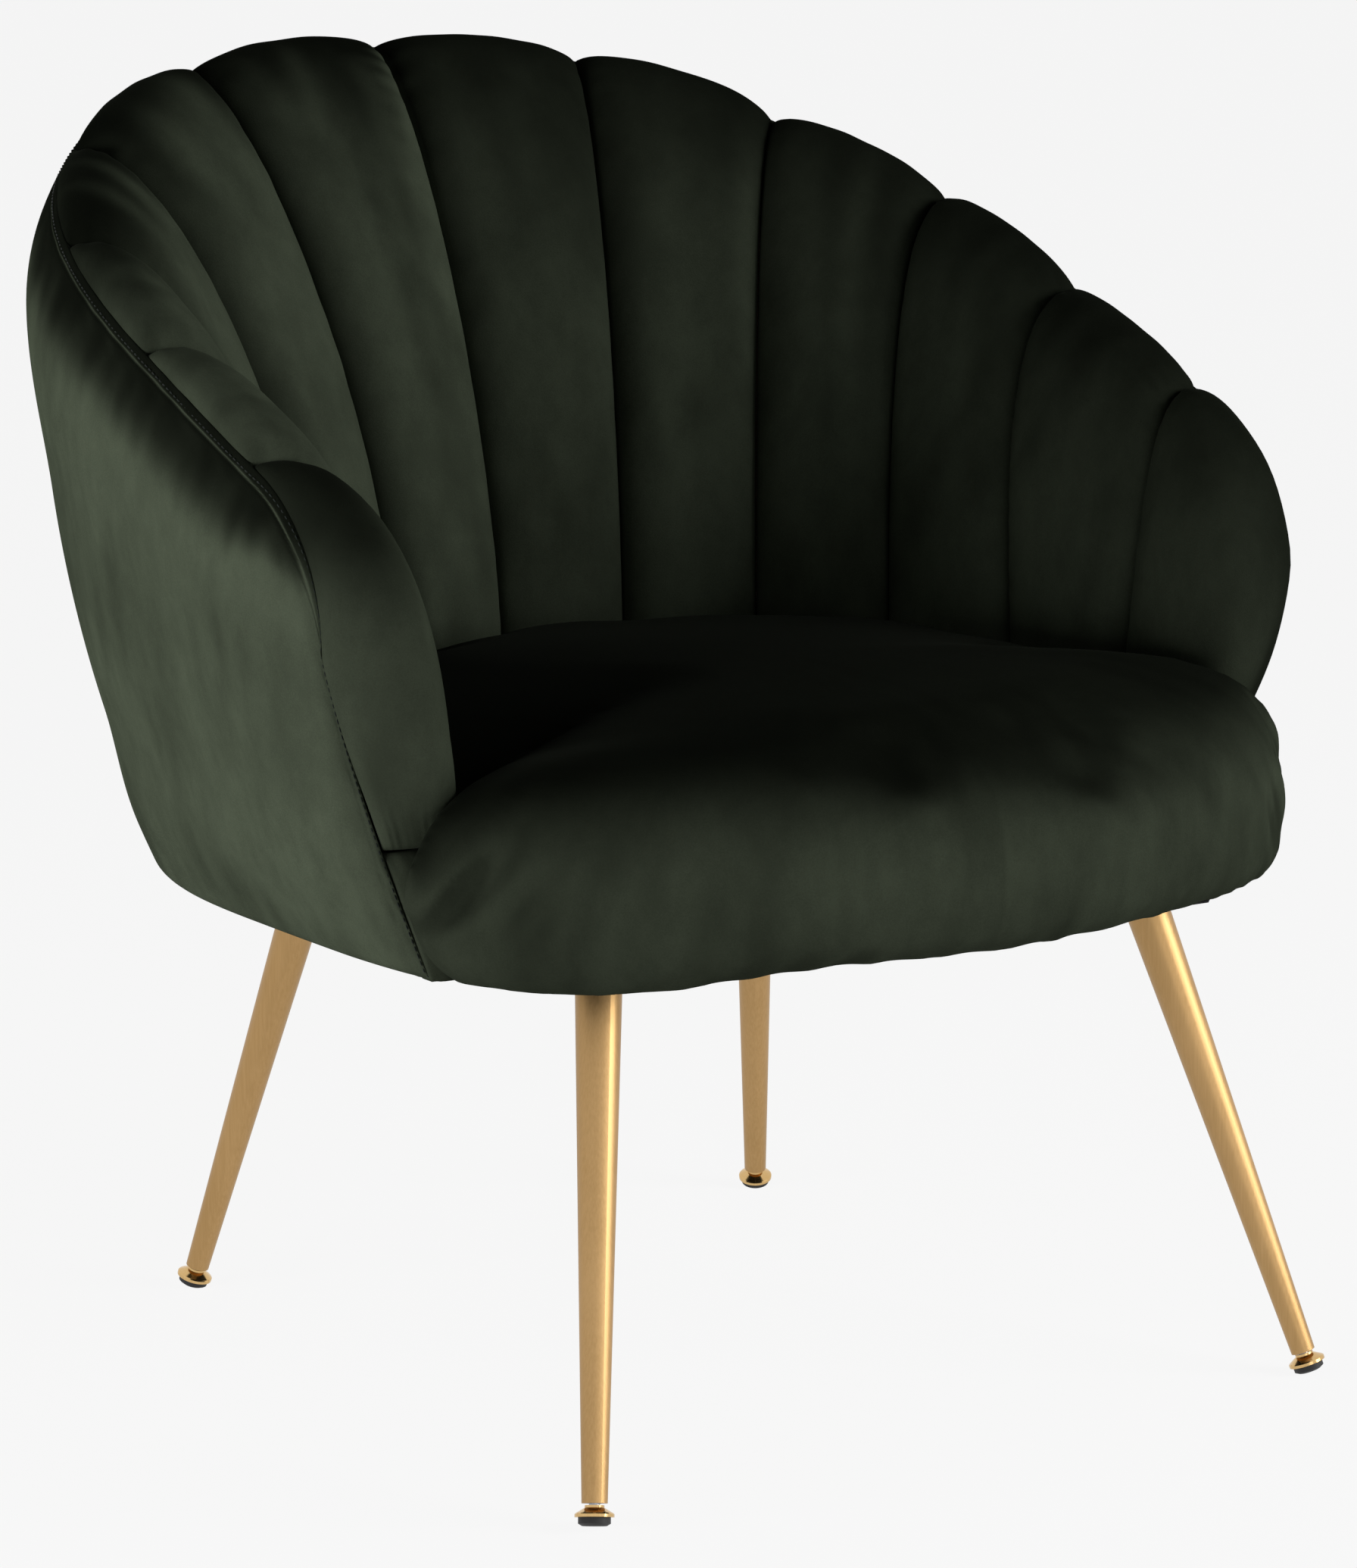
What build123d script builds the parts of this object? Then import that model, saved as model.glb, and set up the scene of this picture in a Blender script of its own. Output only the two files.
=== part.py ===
"""Tub armchair with a fluted shell back, a tight seat and four splayed tapered legs on screw glides.

Frame: millimetres, +Z up, the sitter faces -Y, origin on the floor below the middle of the plan box.
"""
from build123d import *
import math
import os
import numpy as np

# Overall sizes
FLOOR_CLEARANCE = 278.0      # floor to the underside of the upholstery
RIM_HALF_WIDTH = 322.0       # rim seam, half width at the arms
RIM_BACK_REACH = 320.0       # rim seam, from its widest point to the back
RIM_FRONT_REACH = 700.0      # rim seam, how slowly the arms draw in towards the front
RIM_CENTRE_Y = 20.0          # where the rim is widest
RIM_SQUARENESS = 2.5         # superellipse exponent of the rim in plan
RIM_ARM_HEIGHT = 586.0       # rim height above the floor at its widest point
RIM_SLOPE_DEG = 22.8         # fall of the rim from the back to the arms
RIM_BACK_CROWN = 16.0        # extra rise of the rim at the middle of the back
RIM_CROWN_HALF_WIDTH = 255.0
ARM_FRONT_Y = -154.0         # outer front edge of the arms
ARM_FRONT_RADIUS = 95.0      # bend of the rim from the slope into the arm front
ARM_SEAM_HEIGHT = 348.0      # short seam that ends the front channel
ARM_FRONT_TUCK = 54.0        # how far the arm's front edge draws in at the bottom
ARM_FRONT_TUCK_POWER = 1.15

# Outer wall of the shell
WALL_BULGE = 19.0            # furthest the wall swells past the rim seam
WALL_BULGE_DROP = 60.0       # height of the roll from the rim to that swell
WALL_TUCK = 48.0             # how far the wall draws in at the bottom
WALL_FRONT_FADE = 60.0       # length over which the swell dies out at the arm front
COVER_THICKNESS = 12.0       # velvet on wadding
COVER_END_SLANT = 0.85       # slant of the cover's upper end, as a share of its thickness

# Inner back: channels sewn side by side from the seat to the rim seam
CHANNEL_COUNT = 12
SEAM_PITCH = 142.5           # seam spacing along the rim at the back
SEAM_PITCH_LOSS = 0.0136     # share by which the spacing tightens towards the arms
BASE_HALF_WIDTH = 262.0      # seat well, half width and reach behind its centre
BASE_BACK_REACH = 277.0
BASE_CENTRE_Y = -90.0
BASE_SEAM_STEP_DEG = 17.8    # seam spacing round the seat well
BASE_HEIGHT = 346.0          # lower end of the channels
RISE_SHARE = 0.39            # how long a channel stays upright
ROLL_BACK = 60.0             # reach of the roll over the rim, at the back and at the arms
ROLL_ARM = 65.0
ROLL_FRONT = 16.0
ROLL_DIP_BACK = -12.0        # height of the roll's pull at the back, and its change per seam
ROLL_DIP_STEP = 6.25
ARM_FRONT_SWELL = 44.0       # forward swell of the front channel
ARM_SWELL_LOSS = 0.85        # share of it that is gone at the short seam
CHANNEL_CROWN = 15.0         # height of a channel's padding over its seams
CHANNEL_CROWN_RIM = 12.0     # the same at the rim
SEAM_GAP = 0.4               # sewn gap between channels
END_CHANNEL_REACH = 0.97     # the channels on the arm fronts stop a little shorter of the rim

# Timber frame
BOARD_THICKNESS = 25.0
RAIL_THICKNESS = 22.0
RAIL_TOP = 338.0
FRAME_INSET = 0.7            # frame to cover
DUST_INSET = 3.1             # dust cover to cover
BOARD_FRONT_HALF = 216.0     # half width of the base board under the seat front
BOARD_CHAMFER = 31.0         # cut of its front corners
BOARD_SHOULDER = 36.0        # base board to the arm fronts
BOARD_CORNER = 12.0
WELL_HALF_WIDTH = 120.0      # opening in the base board below the springs
WELL_FRONT_Y = -160.0
WELL_BACK_Y = 56.0
FRONT_RAIL_Y = -262.0        # front face of the front rail
REAR_RAIL_Y = 92.0           # rear face of the rear rail
UPRIGHT_THICKNESS = 18.0
UPRIGHT_LINING_GAP = 4.9     # uprights to the lining
UPRIGHT_COVER_GAP = 4.0      # uprights to the outer cover
HOOP_WIDTH = 24.0
HOOP_HEIGHT = 26.0
HOOP_INSET = 20.0
HOOP_DROP = 46.0
HOOP_GAP = 0.35              # hoop to the uprights under it
HOOP_REACH = 4.6             # seam number at which the hoop ends
BLOCK_SIZE = 45.0
BLOCK_DROP = 6.0             # corner blocks below the rail tops
LINING_THICKNESS = 4.0
LINING_SETBACK = 7.0
LINING_REACH = 4.7           # seam number at which the lining ends
LINING_TOP = 0.66            # share of the channels' height that it backs

# Suspension
SPRING_COUNT = 5
SPRING_SPACING = 62.0
SPRING_WIRE = 3.8
SPRING_HALF_WIDTH = 22.0
SPRING_RUN_PITCH = 23.0
SPRING_SIDE_GAP = 2.1        # outermost spring to the side rail
CLIP_LENGTH = 16.0
CLIP_WALL = 1.5
FELT_THICKNESS = 4.0
FELT_HALF_WIDTH = 150.0

# Seat
SEAT_CROWN_HEIGHT = 410.0    # top of the crown above the floor
SEAT_FRONT_Y = -329.0        # furthest point of the front
SEAT_FRONT_HALF_WIDTH = 276.0
SEAT_FRONT_WIDE_Y = -207.0   # where the front of the seat is widest
SEAT_NECK_Y = -174.0         # where the seat widens in front of the arms
SEAT_CLEARANCE = 0.1
BORDER_FACE_Y = -272.0       # rear face of the padding in front of the front rail
BORDER_TUCK = 25.0           # how far the seat front draws in at the bottom
BORDER_RISE = 2.0            # hem of the seat front above the underside
BORDER_GAP = 3.0             # padding to the sides of the base board
BORDER_END_HALF = 248.0      # inner end of the padding in front of the arms
BORDER_END_Y = -212.0
BORDER_SIDE_SHARE = 0.3      # share of that tuck at the sides
FRONT_CORNER_SHARE = 0.66    # where the flat of the seat front ends, as a share of its half width
FRONT_CORNER_SETBACK = 14.0  # fall of the seat front from its middle to its corners
FRONT_CORNER_SWELL_X = 14.0  # fullness of the corners
FRONT_CORNER_SWELL_Y = 12.0
NECK_INSET = 6.0
NECK_SWELL = 3.0
GUSSET_DEPTH = 22.0          # strip below the short seam on each arm front
GUSSET_WIDTH = 44.0
GUSSET_TAPER = 4.0
GUSSET_SEAM_GAP = 2.6        # strip to the short seam
GUSSET_RISE = 1.0

# Legs and glides
FRONT_FOOT = (240.6, -293.3)     # axis at the lower end of the tube
REAR_FOOT = (204.7, 211.2)
FRONT_TOP = (182.6, -208.3)      # axis at the underside of the seat
REAR_TOP = (155.5, 141.5)
LEG_TOP_RADIUS = 13.0
LEG_END_RADIUS = 6.9
LEG_WALL = 1.4
LEG_OVERLAP = 20.0               # stock above the plate that is cut off at its angle
NUT_LENGTH = 14.0
STUD_RADIUS = 3.0
STUD_CLEARANCE = 0.05
STUD_TAIL = 20.0
CAP_RADIUS = 10.5
CAP_NECK_RADIUS = 5.2
CAP_HEIGHT = 6.2
CAP_RIM = 1.6
CAP_GAP = 1.0
PAD_RADIUS = 8.6
PAD_HEIGHT = 6.0
PAD_FACE_RADIUS = 6.6
PAD_SEAT_DEPTH = 1.5
PAD_BEVEL = 1.2
PLATE_LENGTH = 56.0
PLATE_THICKNESS = 4.0
PLATE_SCREW_RADIUS = 2.2
PLATE_SCREW_LENGTH = 16.0
PLATE_SCREW_HEAD = 4.0
PLATE_SCREW_INSET = 8.0
DUST_THICKNESS = 0.8
DUST_HOLE_GAP = 0.5
TOUCH_GAP = 0.2

PARTS = {}
UP = np.array([0.0, 0.0, 1.0])
FORWARD = np.array([0.0, -1.0, 0.0])
SEAM_LAST = CHANNEL_COUNT // 2


def smooth(t):
    """Smooth step from 0 to 1."""
    t = min(1.0, max(0.0, t))
    return t * t * (3 - 2 * t)


def unit(v):
    return np.asarray(v, float) / np.linalg.norm(v)


def vec(p):
    return Vector(*(float(c) for c in p))


# Rim seam
SLOPE = math.radians(RIM_SLOPE_DEG)
ARC_START_Y = ARM_FRONT_Y + ARM_FRONT_RADIUS * (1 - math.sin(SLOPE))


def slope_height(x, y):
    """Height of the sloping part of the rim, with its crown at the back."""
    crown = RIM_BACK_CROWN * max(0.0, 1 - (x / RIM_CROWN_HALF_WIDTH) ** 2) * smooth((y - RIM_CENTRE_Y) / 100)
    return RIM_ARM_HEIGHT + math.tan(SLOPE) * (y - RIM_CENTRE_Y) + crown


ARC_START_Z = RIM_ARM_HEIGHT + math.tan(SLOPE) * (ARC_START_Y - RIM_CENTRE_Y)
ARC_CENTRE_Z = ARC_START_Z - ARM_FRONT_RADIUS * math.cos(SLOPE)


def plan_point(t, reach_back=RIM_BACK_REACH, half=RIM_HALF_WIDTH, front=RIM_FRONT_REACH):
    """Point on the rim's plan curve at parameter angle t, 0 at the back, positive to +X."""
    s, c = math.sin(t), math.cos(t)
    e = 2 / RIM_SQUARENESS
    reach = reach_back if c > 0 else front
    x = half * math.copysign(abs(s) ** e, s)
    return np.array([x, RIM_CENTRE_Y + reach * math.copysign(abs(c) ** e, c), 0.0])


def plan_normal(p):
    """Outward normal of the rim's plan curve at a point of it."""
    dy = p[1] - RIM_CENTRE_Y
    reach = RIM_BACK_REACH if dy > 0 else RIM_FRONT_REACH
    n = RIM_SQUARENESS - 1
    gx = math.copysign(abs(p[0] / RIM_HALF_WIDTH) ** n / RIM_HALF_WIDTH, p[0])
    gy = math.copysign(abs(dy / reach) ** n / reach, dy)
    return unit([gx, gy, 0.0])


def rim_height(p):
    """Height of the rim above a plan point behind the arm front."""
    if p[1] >= ARC_START_Y:
        return slope_height(p[0], p[1])
    back = min(ARM_FRONT_RADIUS, ARM_FRONT_Y + ARM_FRONT_RADIUS - p[1])
    return ARC_CENTRE_Z + math.sqrt(max(0.0, ARM_FRONT_RADIUS ** 2 - back ** 2))


def front_inset(z):
    """How far the arm's front edge has drawn in at height z below the bend."""
    height = ARC_CENTRE_Z - FLOOR_CLEARANCE
    return ARM_FRONT_TUCK * (max(0.0, ARC_CENTRE_Z - z) / height) ** ARM_FRONT_TUCK_POWER


def half_plan():
    """Plan points from the middle of the back to the arm front, on the +X side."""
    ts = np.linspace(0.0, math.pi, 4000)
    points = [plan_point(t) for t in ts]
    return np.array([p for p in points if p[1] >= ARM_FRONT_Y])


PLAN = half_plan()
PLAN_END = PLAN[-1]


def rim_line():
    """The rim seam as points from the middle of the back to the bottom of the arm front."""
    top = [np.array([p[0], p[1], rim_height(p)]) for p in PLAN]
    normal = plan_normal(PLAN_END)
    zs = np.linspace(top[-1][2], FLOOR_CLEARANCE, 200)[1:]
    return np.array(top + [PLAN_END - normal * front_inset(z) + UP * z for z in zs])


RIM = rim_line()
RIM_LENGTH = np.concatenate([[0.0], np.cumsum(np.linalg.norm(np.diff(RIM, axis=0), axis=1))])
ARM_SEAM_LENGTH = float(np.interp(-ARM_SEAM_HEIGHT, -RIM[:, 2], RIM_LENGTH))
LAST_BACK_SEAM = SEAM_LAST - 1


def rim_point(u):
    """Rim seam at seam number u, 0 at the middle of the back, whole numbers at the sewn seams."""
    a = min(abs(u), LAST_BACK_SEAM)
    length = SEAM_PITCH * a * (1 - SEAM_PITCH_LOSS * a)
    length += max(0.0, abs(u) - LAST_BACK_SEAM) * (ARM_SEAM_LENGTH - length)
    p = np.array([np.interp(length, RIM_LENGTH, RIM[:, i]) for i in range(3)])
    return p * [math.copysign(1, u), 1, 1]


def rim_normal(u):
    p = rim_point(u)
    return plan_normal(np.array([p[0], max(p[1], ARM_FRONT_Y), 0.0]))


# Inner back surface through the seams
def base_point(u):
    """Lower end of the seam u, on the ellipse of the seat well."""
    t = math.radians(BASE_SEAM_STEP_DEG) * u
    x = BASE_HALF_WIDTH * math.sin(t)
    return np.array([x, BASE_CENTRE_Y + BASE_BACK_REACH * math.cos(t), BASE_HEIGHT])


def seam_point(u, v):
    """Point on the surface through the seams: a cubic from the seat well, up, and out over the rim."""
    a = abs(u)
    foot, head = base_point(u), rim_point(u)
    lost = ARM_SWELL_LOSS * smooth(2 * (a - LAST_BACK_SEAM) - 1)
    front = smooth((a - LAST_BACK_SEAM + 0.6) / 1.1) * (1 - lost)
    roll = ROLL_BACK + (ROLL_ARM - ROLL_BACK) * min(1.0, a / 4)
    roll += (ROLL_FRONT - roll) * smooth(a - LAST_BACK_SEAM)
    dip = (ROLL_DIP_BACK + ROLL_DIP_STEP * min(a, 4.0)) * (1 - smooth(a - LAST_BACK_SEAM))
    swell = FORWARD * ARM_FRONT_SWELL * front
    first = foot + UP * RISE_SHARE * (head[2] - foot[2]) + swell
    second = head - rim_normal(u) * roll + UP * dip + swell
    w = 1 - v
    return w ** 3 * foot + 3 * w * w * v * first + 3 * w * v * v * second + v ** 3 * head


def seam_normal(u, v):
    """Normal of that surface, towards the sitter."""
    d = 0.02
    du = seam_point(u + d, v) - seam_point(u - d, v)
    dv = seam_point(u, min(1.0, v + d)) - seam_point(u, max(0.0, v - d))
    return unit(np.cross(du, dv))


def channel_section(left, v):
    """Lens-shaped section of a channel between seams left and left + 1."""
    a, b = seam_point(left, v), seam_point(left + 1, v)
    along = unit(b - a) * SEAM_GAP / 2
    a, b = a + along, b - along
    middle, normal = seam_point(left + 0.5, v), seam_normal(left + 0.5, v)
    fade = smooth((v - 0.75) / 0.2)
    crown = CHANNEL_CROWN + (CHANNEL_CROWN_RIM - CHANNEL_CROWN) * fade
    front, rear = middle + normal * crown, middle - normal * SEAM_GAP
    plane = unit(np.cross(b - a, front - a))
    rear = rear - plane * np.dot(rear - a, plane)
    lens = ThreePointArc(vec(a), vec(front), vec(b))
    back = ThreePointArc(vec(b), vec(rear), vec(a))
    return Face(Wire([lens, back]))


CHANNEL_STATIONS = (0.0, 0.1, 0.2, 0.3, 0.41, 0.52, 0.63, 0.73, 0.82, 0.89, 0.945)


def channel(left):
    end = left in (-SEAM_LAST, SEAM_LAST - 1)
    reach = END_CHANNEL_REACH if end else 1.0
    return loft([channel_section(left, v * reach) for v in CHANNEL_STATIONS], ruled=True)


# Outer wall
def wall_profile(p):
    """Heights and offsets that fix the wall above a plan point: (rim height, swell, height of the swell)."""
    z = rim_height(p)
    near = min(1.0, max(0.0, (p[1] - ARM_FRONT_Y) / WALL_FRONT_FADE))
    swell = WALL_BULGE * math.sqrt(max(0.0, 1 - (1 - near) ** 2))
    drop = WALL_BULGE_DROP * (0.25 + 0.75 * near)
    return z, swell, z - drop


def wall_offset(p, z):
    """Outward offset of the wall's outer face from the rim's plan curve at height z."""
    top, swell, swell_z = wall_profile(p)
    full = swell / WALL_BULGE
    if z >= swell_z:
        h, w = top - swell_z, swell
    else:
        h, w = swell_z - FLOOR_CLEARANCE, swell + WALL_TUCK
    offset = swell
    if w > 0:
        r = (h * h + w * w) / (2 * w)
        offset -= r - math.sqrt(max(0.0, r * r - (z - swell_z) ** 2))
    return full * offset - (1 - full) * front_inset(z)


def wall_arcs(p, inset):
    """The wall's two arcs, bottom to rim, moved inwards by inset, as point triples."""
    n = plan_normal(p)
    top, swell, swell_z = wall_profile(p)

    def at(z):
        return p + n * (wall_offset(p, z) - inset) + UP * z

    low, high = FLOOR_CLEARANCE, top - inset * COVER_END_SLANT
    mid_low, mid_high = (low + swell_z) / 2, (swell_z + high) / 2
    return (at(low), at(mid_low), at(swell_z)), (at(swell_z), at(mid_high), at(high))


def wall_section(p):
    outer_low, outer_high = wall_arcs(p, 0.0)
    inner_low, inner_high = wall_arcs(p, COVER_THICKNESS)
    edges = [
        ThreePointArc(*(vec(q) for q in outer_low)),
        ThreePointArc(*(vec(q) for q in outer_high)),
        Line(vec(outer_high[2]), vec(inner_high[2])),
        ThreePointArc(*(vec(q) for q in reversed(inner_high))),
        ThreePointArc(*(vec(q) for q in reversed(inner_low))),
        Line(vec(inner_low[0]), vec(outer_low[0])),
    ]
    return Face(Wire(edges))


def wall_stations():
    """Plan points of the wall's sections, left arm front to right arm front."""
    length = np.concatenate([[0.0], np.cumsum(np.linalg.norm(np.diff(PLAN, axis=0), axis=1))])
    bend = float(np.interp(-ARC_START_Y, -PLAN[:, 1], length))
    marks = list(np.linspace(0.0, bend, 9))
    turn = np.linspace(SLOPE, math.pi / 2, 6)[1:]
    for t in turn:
        y = ARM_FRONT_Y + ARM_FRONT_RADIUS * (1 - math.sin(t))
        marks.append(float(np.interp(-y, -PLAN[:, 1], length)))
    right = [np.array([np.interp(m, length, PLAN[:, i]) for i in range(3)]) for m in marks]
    return [p * [-1, 1, 1] for p in reversed(right[1:])] + right


PARTS["outer_cover"] = loft([wall_section(p) for p in wall_stations()])

for number in range(CHANNEL_COUNT):
    PARTS[f"back_channel_{number + 1:02d}"] = channel(number - SEAM_LAST)

# Heights of the stack under the seat
DUST_Z = FLOOR_CLEARANCE
PLATE_Z = DUST_Z + DUST_THICKNESS + TOUCH_GAP
BOARD_Z = PLATE_Z + PLATE_THICKNESS + TOUCH_GAP
RAIL_Z = BOARD_Z + BOARD_THICKNESS + TOUCH_GAP
SPRING_REACH = (SPRING_COUNT - 1) / 2 * SPRING_SPACING + SPRING_HALF_WIDTH + SPRING_WIRE / 2
SIDE_RAIL_X = SPRING_REACH + SPRING_SIDE_GAP + RAIL_THICKNESS
SPRING_Z = RAIL_TOP + SPRING_WIRE / 2 + TOUCH_GAP / 2
FELT_Z = SPRING_Z + SPRING_WIRE / 2 + TOUCH_GAP
SEAT_Z = FELT_Z + FELT_THICKNESS + TOUCH_GAP


def slab(x0, x1, y0, y1, z0, z1):
    """Upright block between two corners."""
    box = Box(x1 - x0, y1 - y0, z1 - z0)
    return Pos((x0 + x1) / 2, (y0 + y1) / 2, (z0 + z1) / 2) * box


def sheet(outline, z, thickness):
    """Flat sheet of the given plan outline."""
    face = make_face(Polyline(*[(float(p[0]), float(p[1])) for p in outline], close=True))
    return Pos(0, 0, z) * extrude(face, amount=thickness)


BORDER_INNER = (
    (BOARD_FRONT_HALF - BOARD_CHAMFER + BORDER_GAP, BORDER_FACE_Y),
    (BOARD_FRONT_HALF + BORDER_GAP, BORDER_FACE_Y + BOARD_CHAMFER),
    (BORDER_END_HALF, BORDER_END_Y))


def base_outline(inset, z):
    """Plan of the base board: inside the wall behind the arm fronts, straight across the front."""
    right = []
    for p in PLAN[::160]:
        q = p + plan_normal(p) * (wall_offset(p, z) - COVER_THICKNESS - inset)
        if q[1] > ARM_FRONT_Y + BOARD_SHOULDER:
            right.append(q[:2])
    right.append(np.array([BOARD_FRONT_HALF, ARM_FRONT_Y + BOARD_CORNER]))
    right.append(np.array([BOARD_FRONT_HALF, BORDER_FACE_Y + BOARD_CHAMFER + inset]))
    right.append(np.array([BOARD_FRONT_HALF - BOARD_CHAMFER, BORDER_FACE_Y + inset]))
    left = [q * [-1, 1] for q in reversed(right[1:])]
    return left + right


base = sheet(base_outline(FRAME_INSET, BOARD_Z), BOARD_Z, BOARD_THICKNESS)
well = slab(-WELL_HALF_WIDTH, WELL_HALF_WIDTH, WELL_FRONT_Y, WELL_BACK_Y, BOARD_Z - 1, RAIL_Z + 1)
PARTS["base_board"] = base - well

# Seat rails stand on the base board
front_y = FRONT_RAIL_Y + RAIL_THICKNESS
rear_y = REAR_RAIL_Y - RAIL_THICKNESS
PARTS["front_rail"] = slab(-SIDE_RAIL_X, SIDE_RAIL_X, FRONT_RAIL_Y, front_y, RAIL_Z, RAIL_TOP)
rear_half = SIDE_RAIL_X - RAIL_THICKNESS - TOUCH_GAP
PARTS["rear_rail"] = slab(-rear_half, rear_half, rear_y, REAR_RAIL_Y, RAIL_Z, RAIL_TOP)
for side, sign in (("left", -1), ("right", 1)):
    inner = SIDE_RAIL_X - RAIL_THICKNESS
    x0, x1 = sorted((sign * inner, sign * SIDE_RAIL_X))
    PARTS[f"side_rail_{side}"] = slab(x0, x1, front_y + TOUCH_GAP, REAR_RAIL_Y, RAIL_Z, RAIL_TOP)

blocks = []
block_x = SIDE_RAIL_X - RAIL_THICKNESS - TOUCH_GAP
for sign in (-1, 1):
    for y, back in ((front_y + TOUCH_GAP, 1), (rear_y - TOUCH_GAP, -1)):
        near, far = sign * block_x, sign * (block_x - BLOCK_SIZE)
        corner = [(near, y), (far, y), (near, y + back * BLOCK_SIZE)]
        blocks.append(sheet(corner, RAIL_Z, RAIL_TOP - RAIL_Z - BLOCK_DROP))
PARTS["corner_blocks"] = Compound(children=blocks)

# Suspension
runs = max(4, round((REAR_RAIL_Y - FRONT_RAIL_Y - RAIL_THICKNESS) / SPRING_RUN_PITCH))
spring_y0 = FRONT_RAIL_Y + RAIL_THICKNESS / 2
spring_pitch = (REAR_RAIL_Y - FRONT_RAIL_Y - RAIL_THICKNESS) / runs
springs, clips = [], []
for index in range(SPRING_COUNT):
    middle = (index - (SPRING_COUNT - 1) / 2) * SPRING_SPACING
    points = []
    for run in range(runs + 1):
        y = spring_y0 + run * spring_pitch
        flip = 1 if run % 2 else -1
        points.append((middle + flip * SPRING_HALF_WIDTH, y, SPRING_Z))
        points.append((middle - flip * SPRING_HALF_WIDTH, y, SPRING_Z))
    path = FilletPolyline(*points, radius=spring_pitch * 0.46)
    ring = Plane(origin=path @ 0, z_dir=path % 0) * Circle(SPRING_WIRE / 2)
    springs.append(sweep(ring, path=path))
    for y in (spring_y0, spring_y0 + runs * spring_pitch):
        half = SPRING_WIRE / 2 + CLIP_WALL
        shell = slab(middle - CLIP_LENGTH / 2, middle + CLIP_LENGTH / 2, y - half, y + half,
                     RAIL_TOP + TOUCH_GAP / 2, SPRING_Z + SPRING_WIRE / 2 + TOUCH_GAP / 2)
        bore = Pos(middle, y, SPRING_Z) * Rot(0, 90, 0) * Cylinder(SPRING_WIRE / 2 + 0.05, CLIP_LENGTH * 2)
        clips.append(shell - bore)
PARTS["seat_springs"] = Compound(children=springs)
PARTS["spring_clips"] = Compound(children=clips)
PARTS["spring_felt"] = slab(-FELT_HALF_WIDTH, FELT_HALF_WIDTH, FRONT_RAIL_Y, REAR_RAIL_Y,
                            FELT_Z, FELT_Z + FELT_THICKNESS)


# Seat cushion and the padding in front of the front rail
def well_point(degrees, inset):
    """Point just inside the channels round the seat well."""
    t = math.radians(degrees)
    a = BASE_HALF_WIDTH - CHANNEL_CROWN - SEAT_CLEARANCE - inset
    b = BASE_BACK_REACH - CHANNEL_CROWN - SEAT_CLEARANCE - inset
    return (a * math.sin(t), BASE_CENTRE_Y + b * math.cos(t))


def front_arcs(z, inset, side_inset):
    """The three arcs of the seat front at height z, from +X to -X."""
    w = SEAT_FRONT_HALF_WIDTH - side_inset
    c = SEAT_FRONT_HALF_WIDTH * FRONT_CORNER_SHARE - inset * 0.4
    wide = SEAT_FRONT_WIDE_Y + side_inset * 0.5
    corner = SEAT_FRONT_Y + FRONT_CORNER_SETBACK + inset
    via = ((w + c) / 2 + FRONT_CORNER_SWELL_X - inset * 0.08, (wide + corner) / 2 - FRONT_CORNER_SWELL_Y)
    right = ThreePointArc((w, wide, z), (via[0], via[1], z), (c, corner, z))
    front = ThreePointArc((c, corner, z), (0, SEAT_FRONT_Y + inset, z), (-c, corner, z))
    left = ThreePointArc((-c, corner, z), (-via[0], via[1], z), (-w, wide, z))
    return [right, front, left], (w, wide)


def seat_section(z, inset, front_inset_at):
    """Plan section of the seat cushion."""
    back = well_point(0, inset)
    shoulder, mid = well_point(45, inset), well_point(75, inset)
    neck = (well_point(106, inset)[0] - NECK_INSET, SEAT_NECK_Y + front_inset_at * 0.5)
    arcs, wide = front_arcs(z, front_inset_at, front_inset_at)
    via = ((neck[0] + wide[0]) / 2 + NECK_SWELL, (neck[1] + wide[1]) / 2 + NECK_SWELL)

    def at(p, sign=1):
        return (sign * p[0], p[1], z)

    edges = [
        ThreePointArc(at(shoulder, -1), at(back), at(shoulder)),
        ThreePointArc(at(shoulder), at(mid), at(neck)),
        ThreePointArc(at(neck), at(via), at(wide)),
        *arcs,
        ThreePointArc(at(wide, -1), at(via, -1), at(neck, -1)),
        ThreePointArc(at(neck, -1), at(mid, -1), at(shoulder, -1)),
    ]
    return Face(Wire(edges))


seat_rise = SEAT_CROWN_HEIGHT - SEAT_Z
SEAT_LEVELS = ((0.0, 2.0, 2.0), (0.16, 0.0, 0.0), (0.36, 1.0, 4.0), (0.54, 4.0, 13.0), (0.70, 11.0, 28.0),
               (0.83, 25.0, 50.0), (0.92, 47.0, 76.0), (0.98, 78.0, 106.0), (1.0, 112.0, 134.0))
seat_levels = [seat_section(SEAT_Z + seat_rise * h, i, f) for h, i, f in SEAT_LEVELS]
PARTS["seat_cushion"] = loft(seat_levels, ruled=True)


def border_section(z, inset):
    arcs, wide = front_arcs(z, inset, inset * BORDER_SIDE_SHARE)
    inner = [wide] + [(p[0], p[1]) for p in reversed(BORDER_INNER)]
    points = [(-p[0], p[1], z) for p in inner] + [(p[0], p[1], z) for p in reversed(inner)]
    lines = [Line(points[i], points[i + 1]) for i in range(len(points) - 1)]
    return Face(Wire(arcs + lines))


border_top, border_low = SEAT_Z - TOUCH_GAP, FLOOR_CLEARANCE + BORDER_RISE
border_span = border_top - border_low
BORDER_LEVELS = ((0.0, 1.0), (0.2, 0.45), (0.45, 0.12), (0.75, 0.0), (1.0, 0.03))
PARTS["seat_front_border"] = loft(
    [border_section(border_low + border_span * h, BORDER_TUCK * t) for h, t in BORDER_LEVELS])


# Strip below the short seam on each arm front
GUSSET_TOP = ARM_SEAM_HEIGHT - GUSSET_SEAM_GAP


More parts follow.
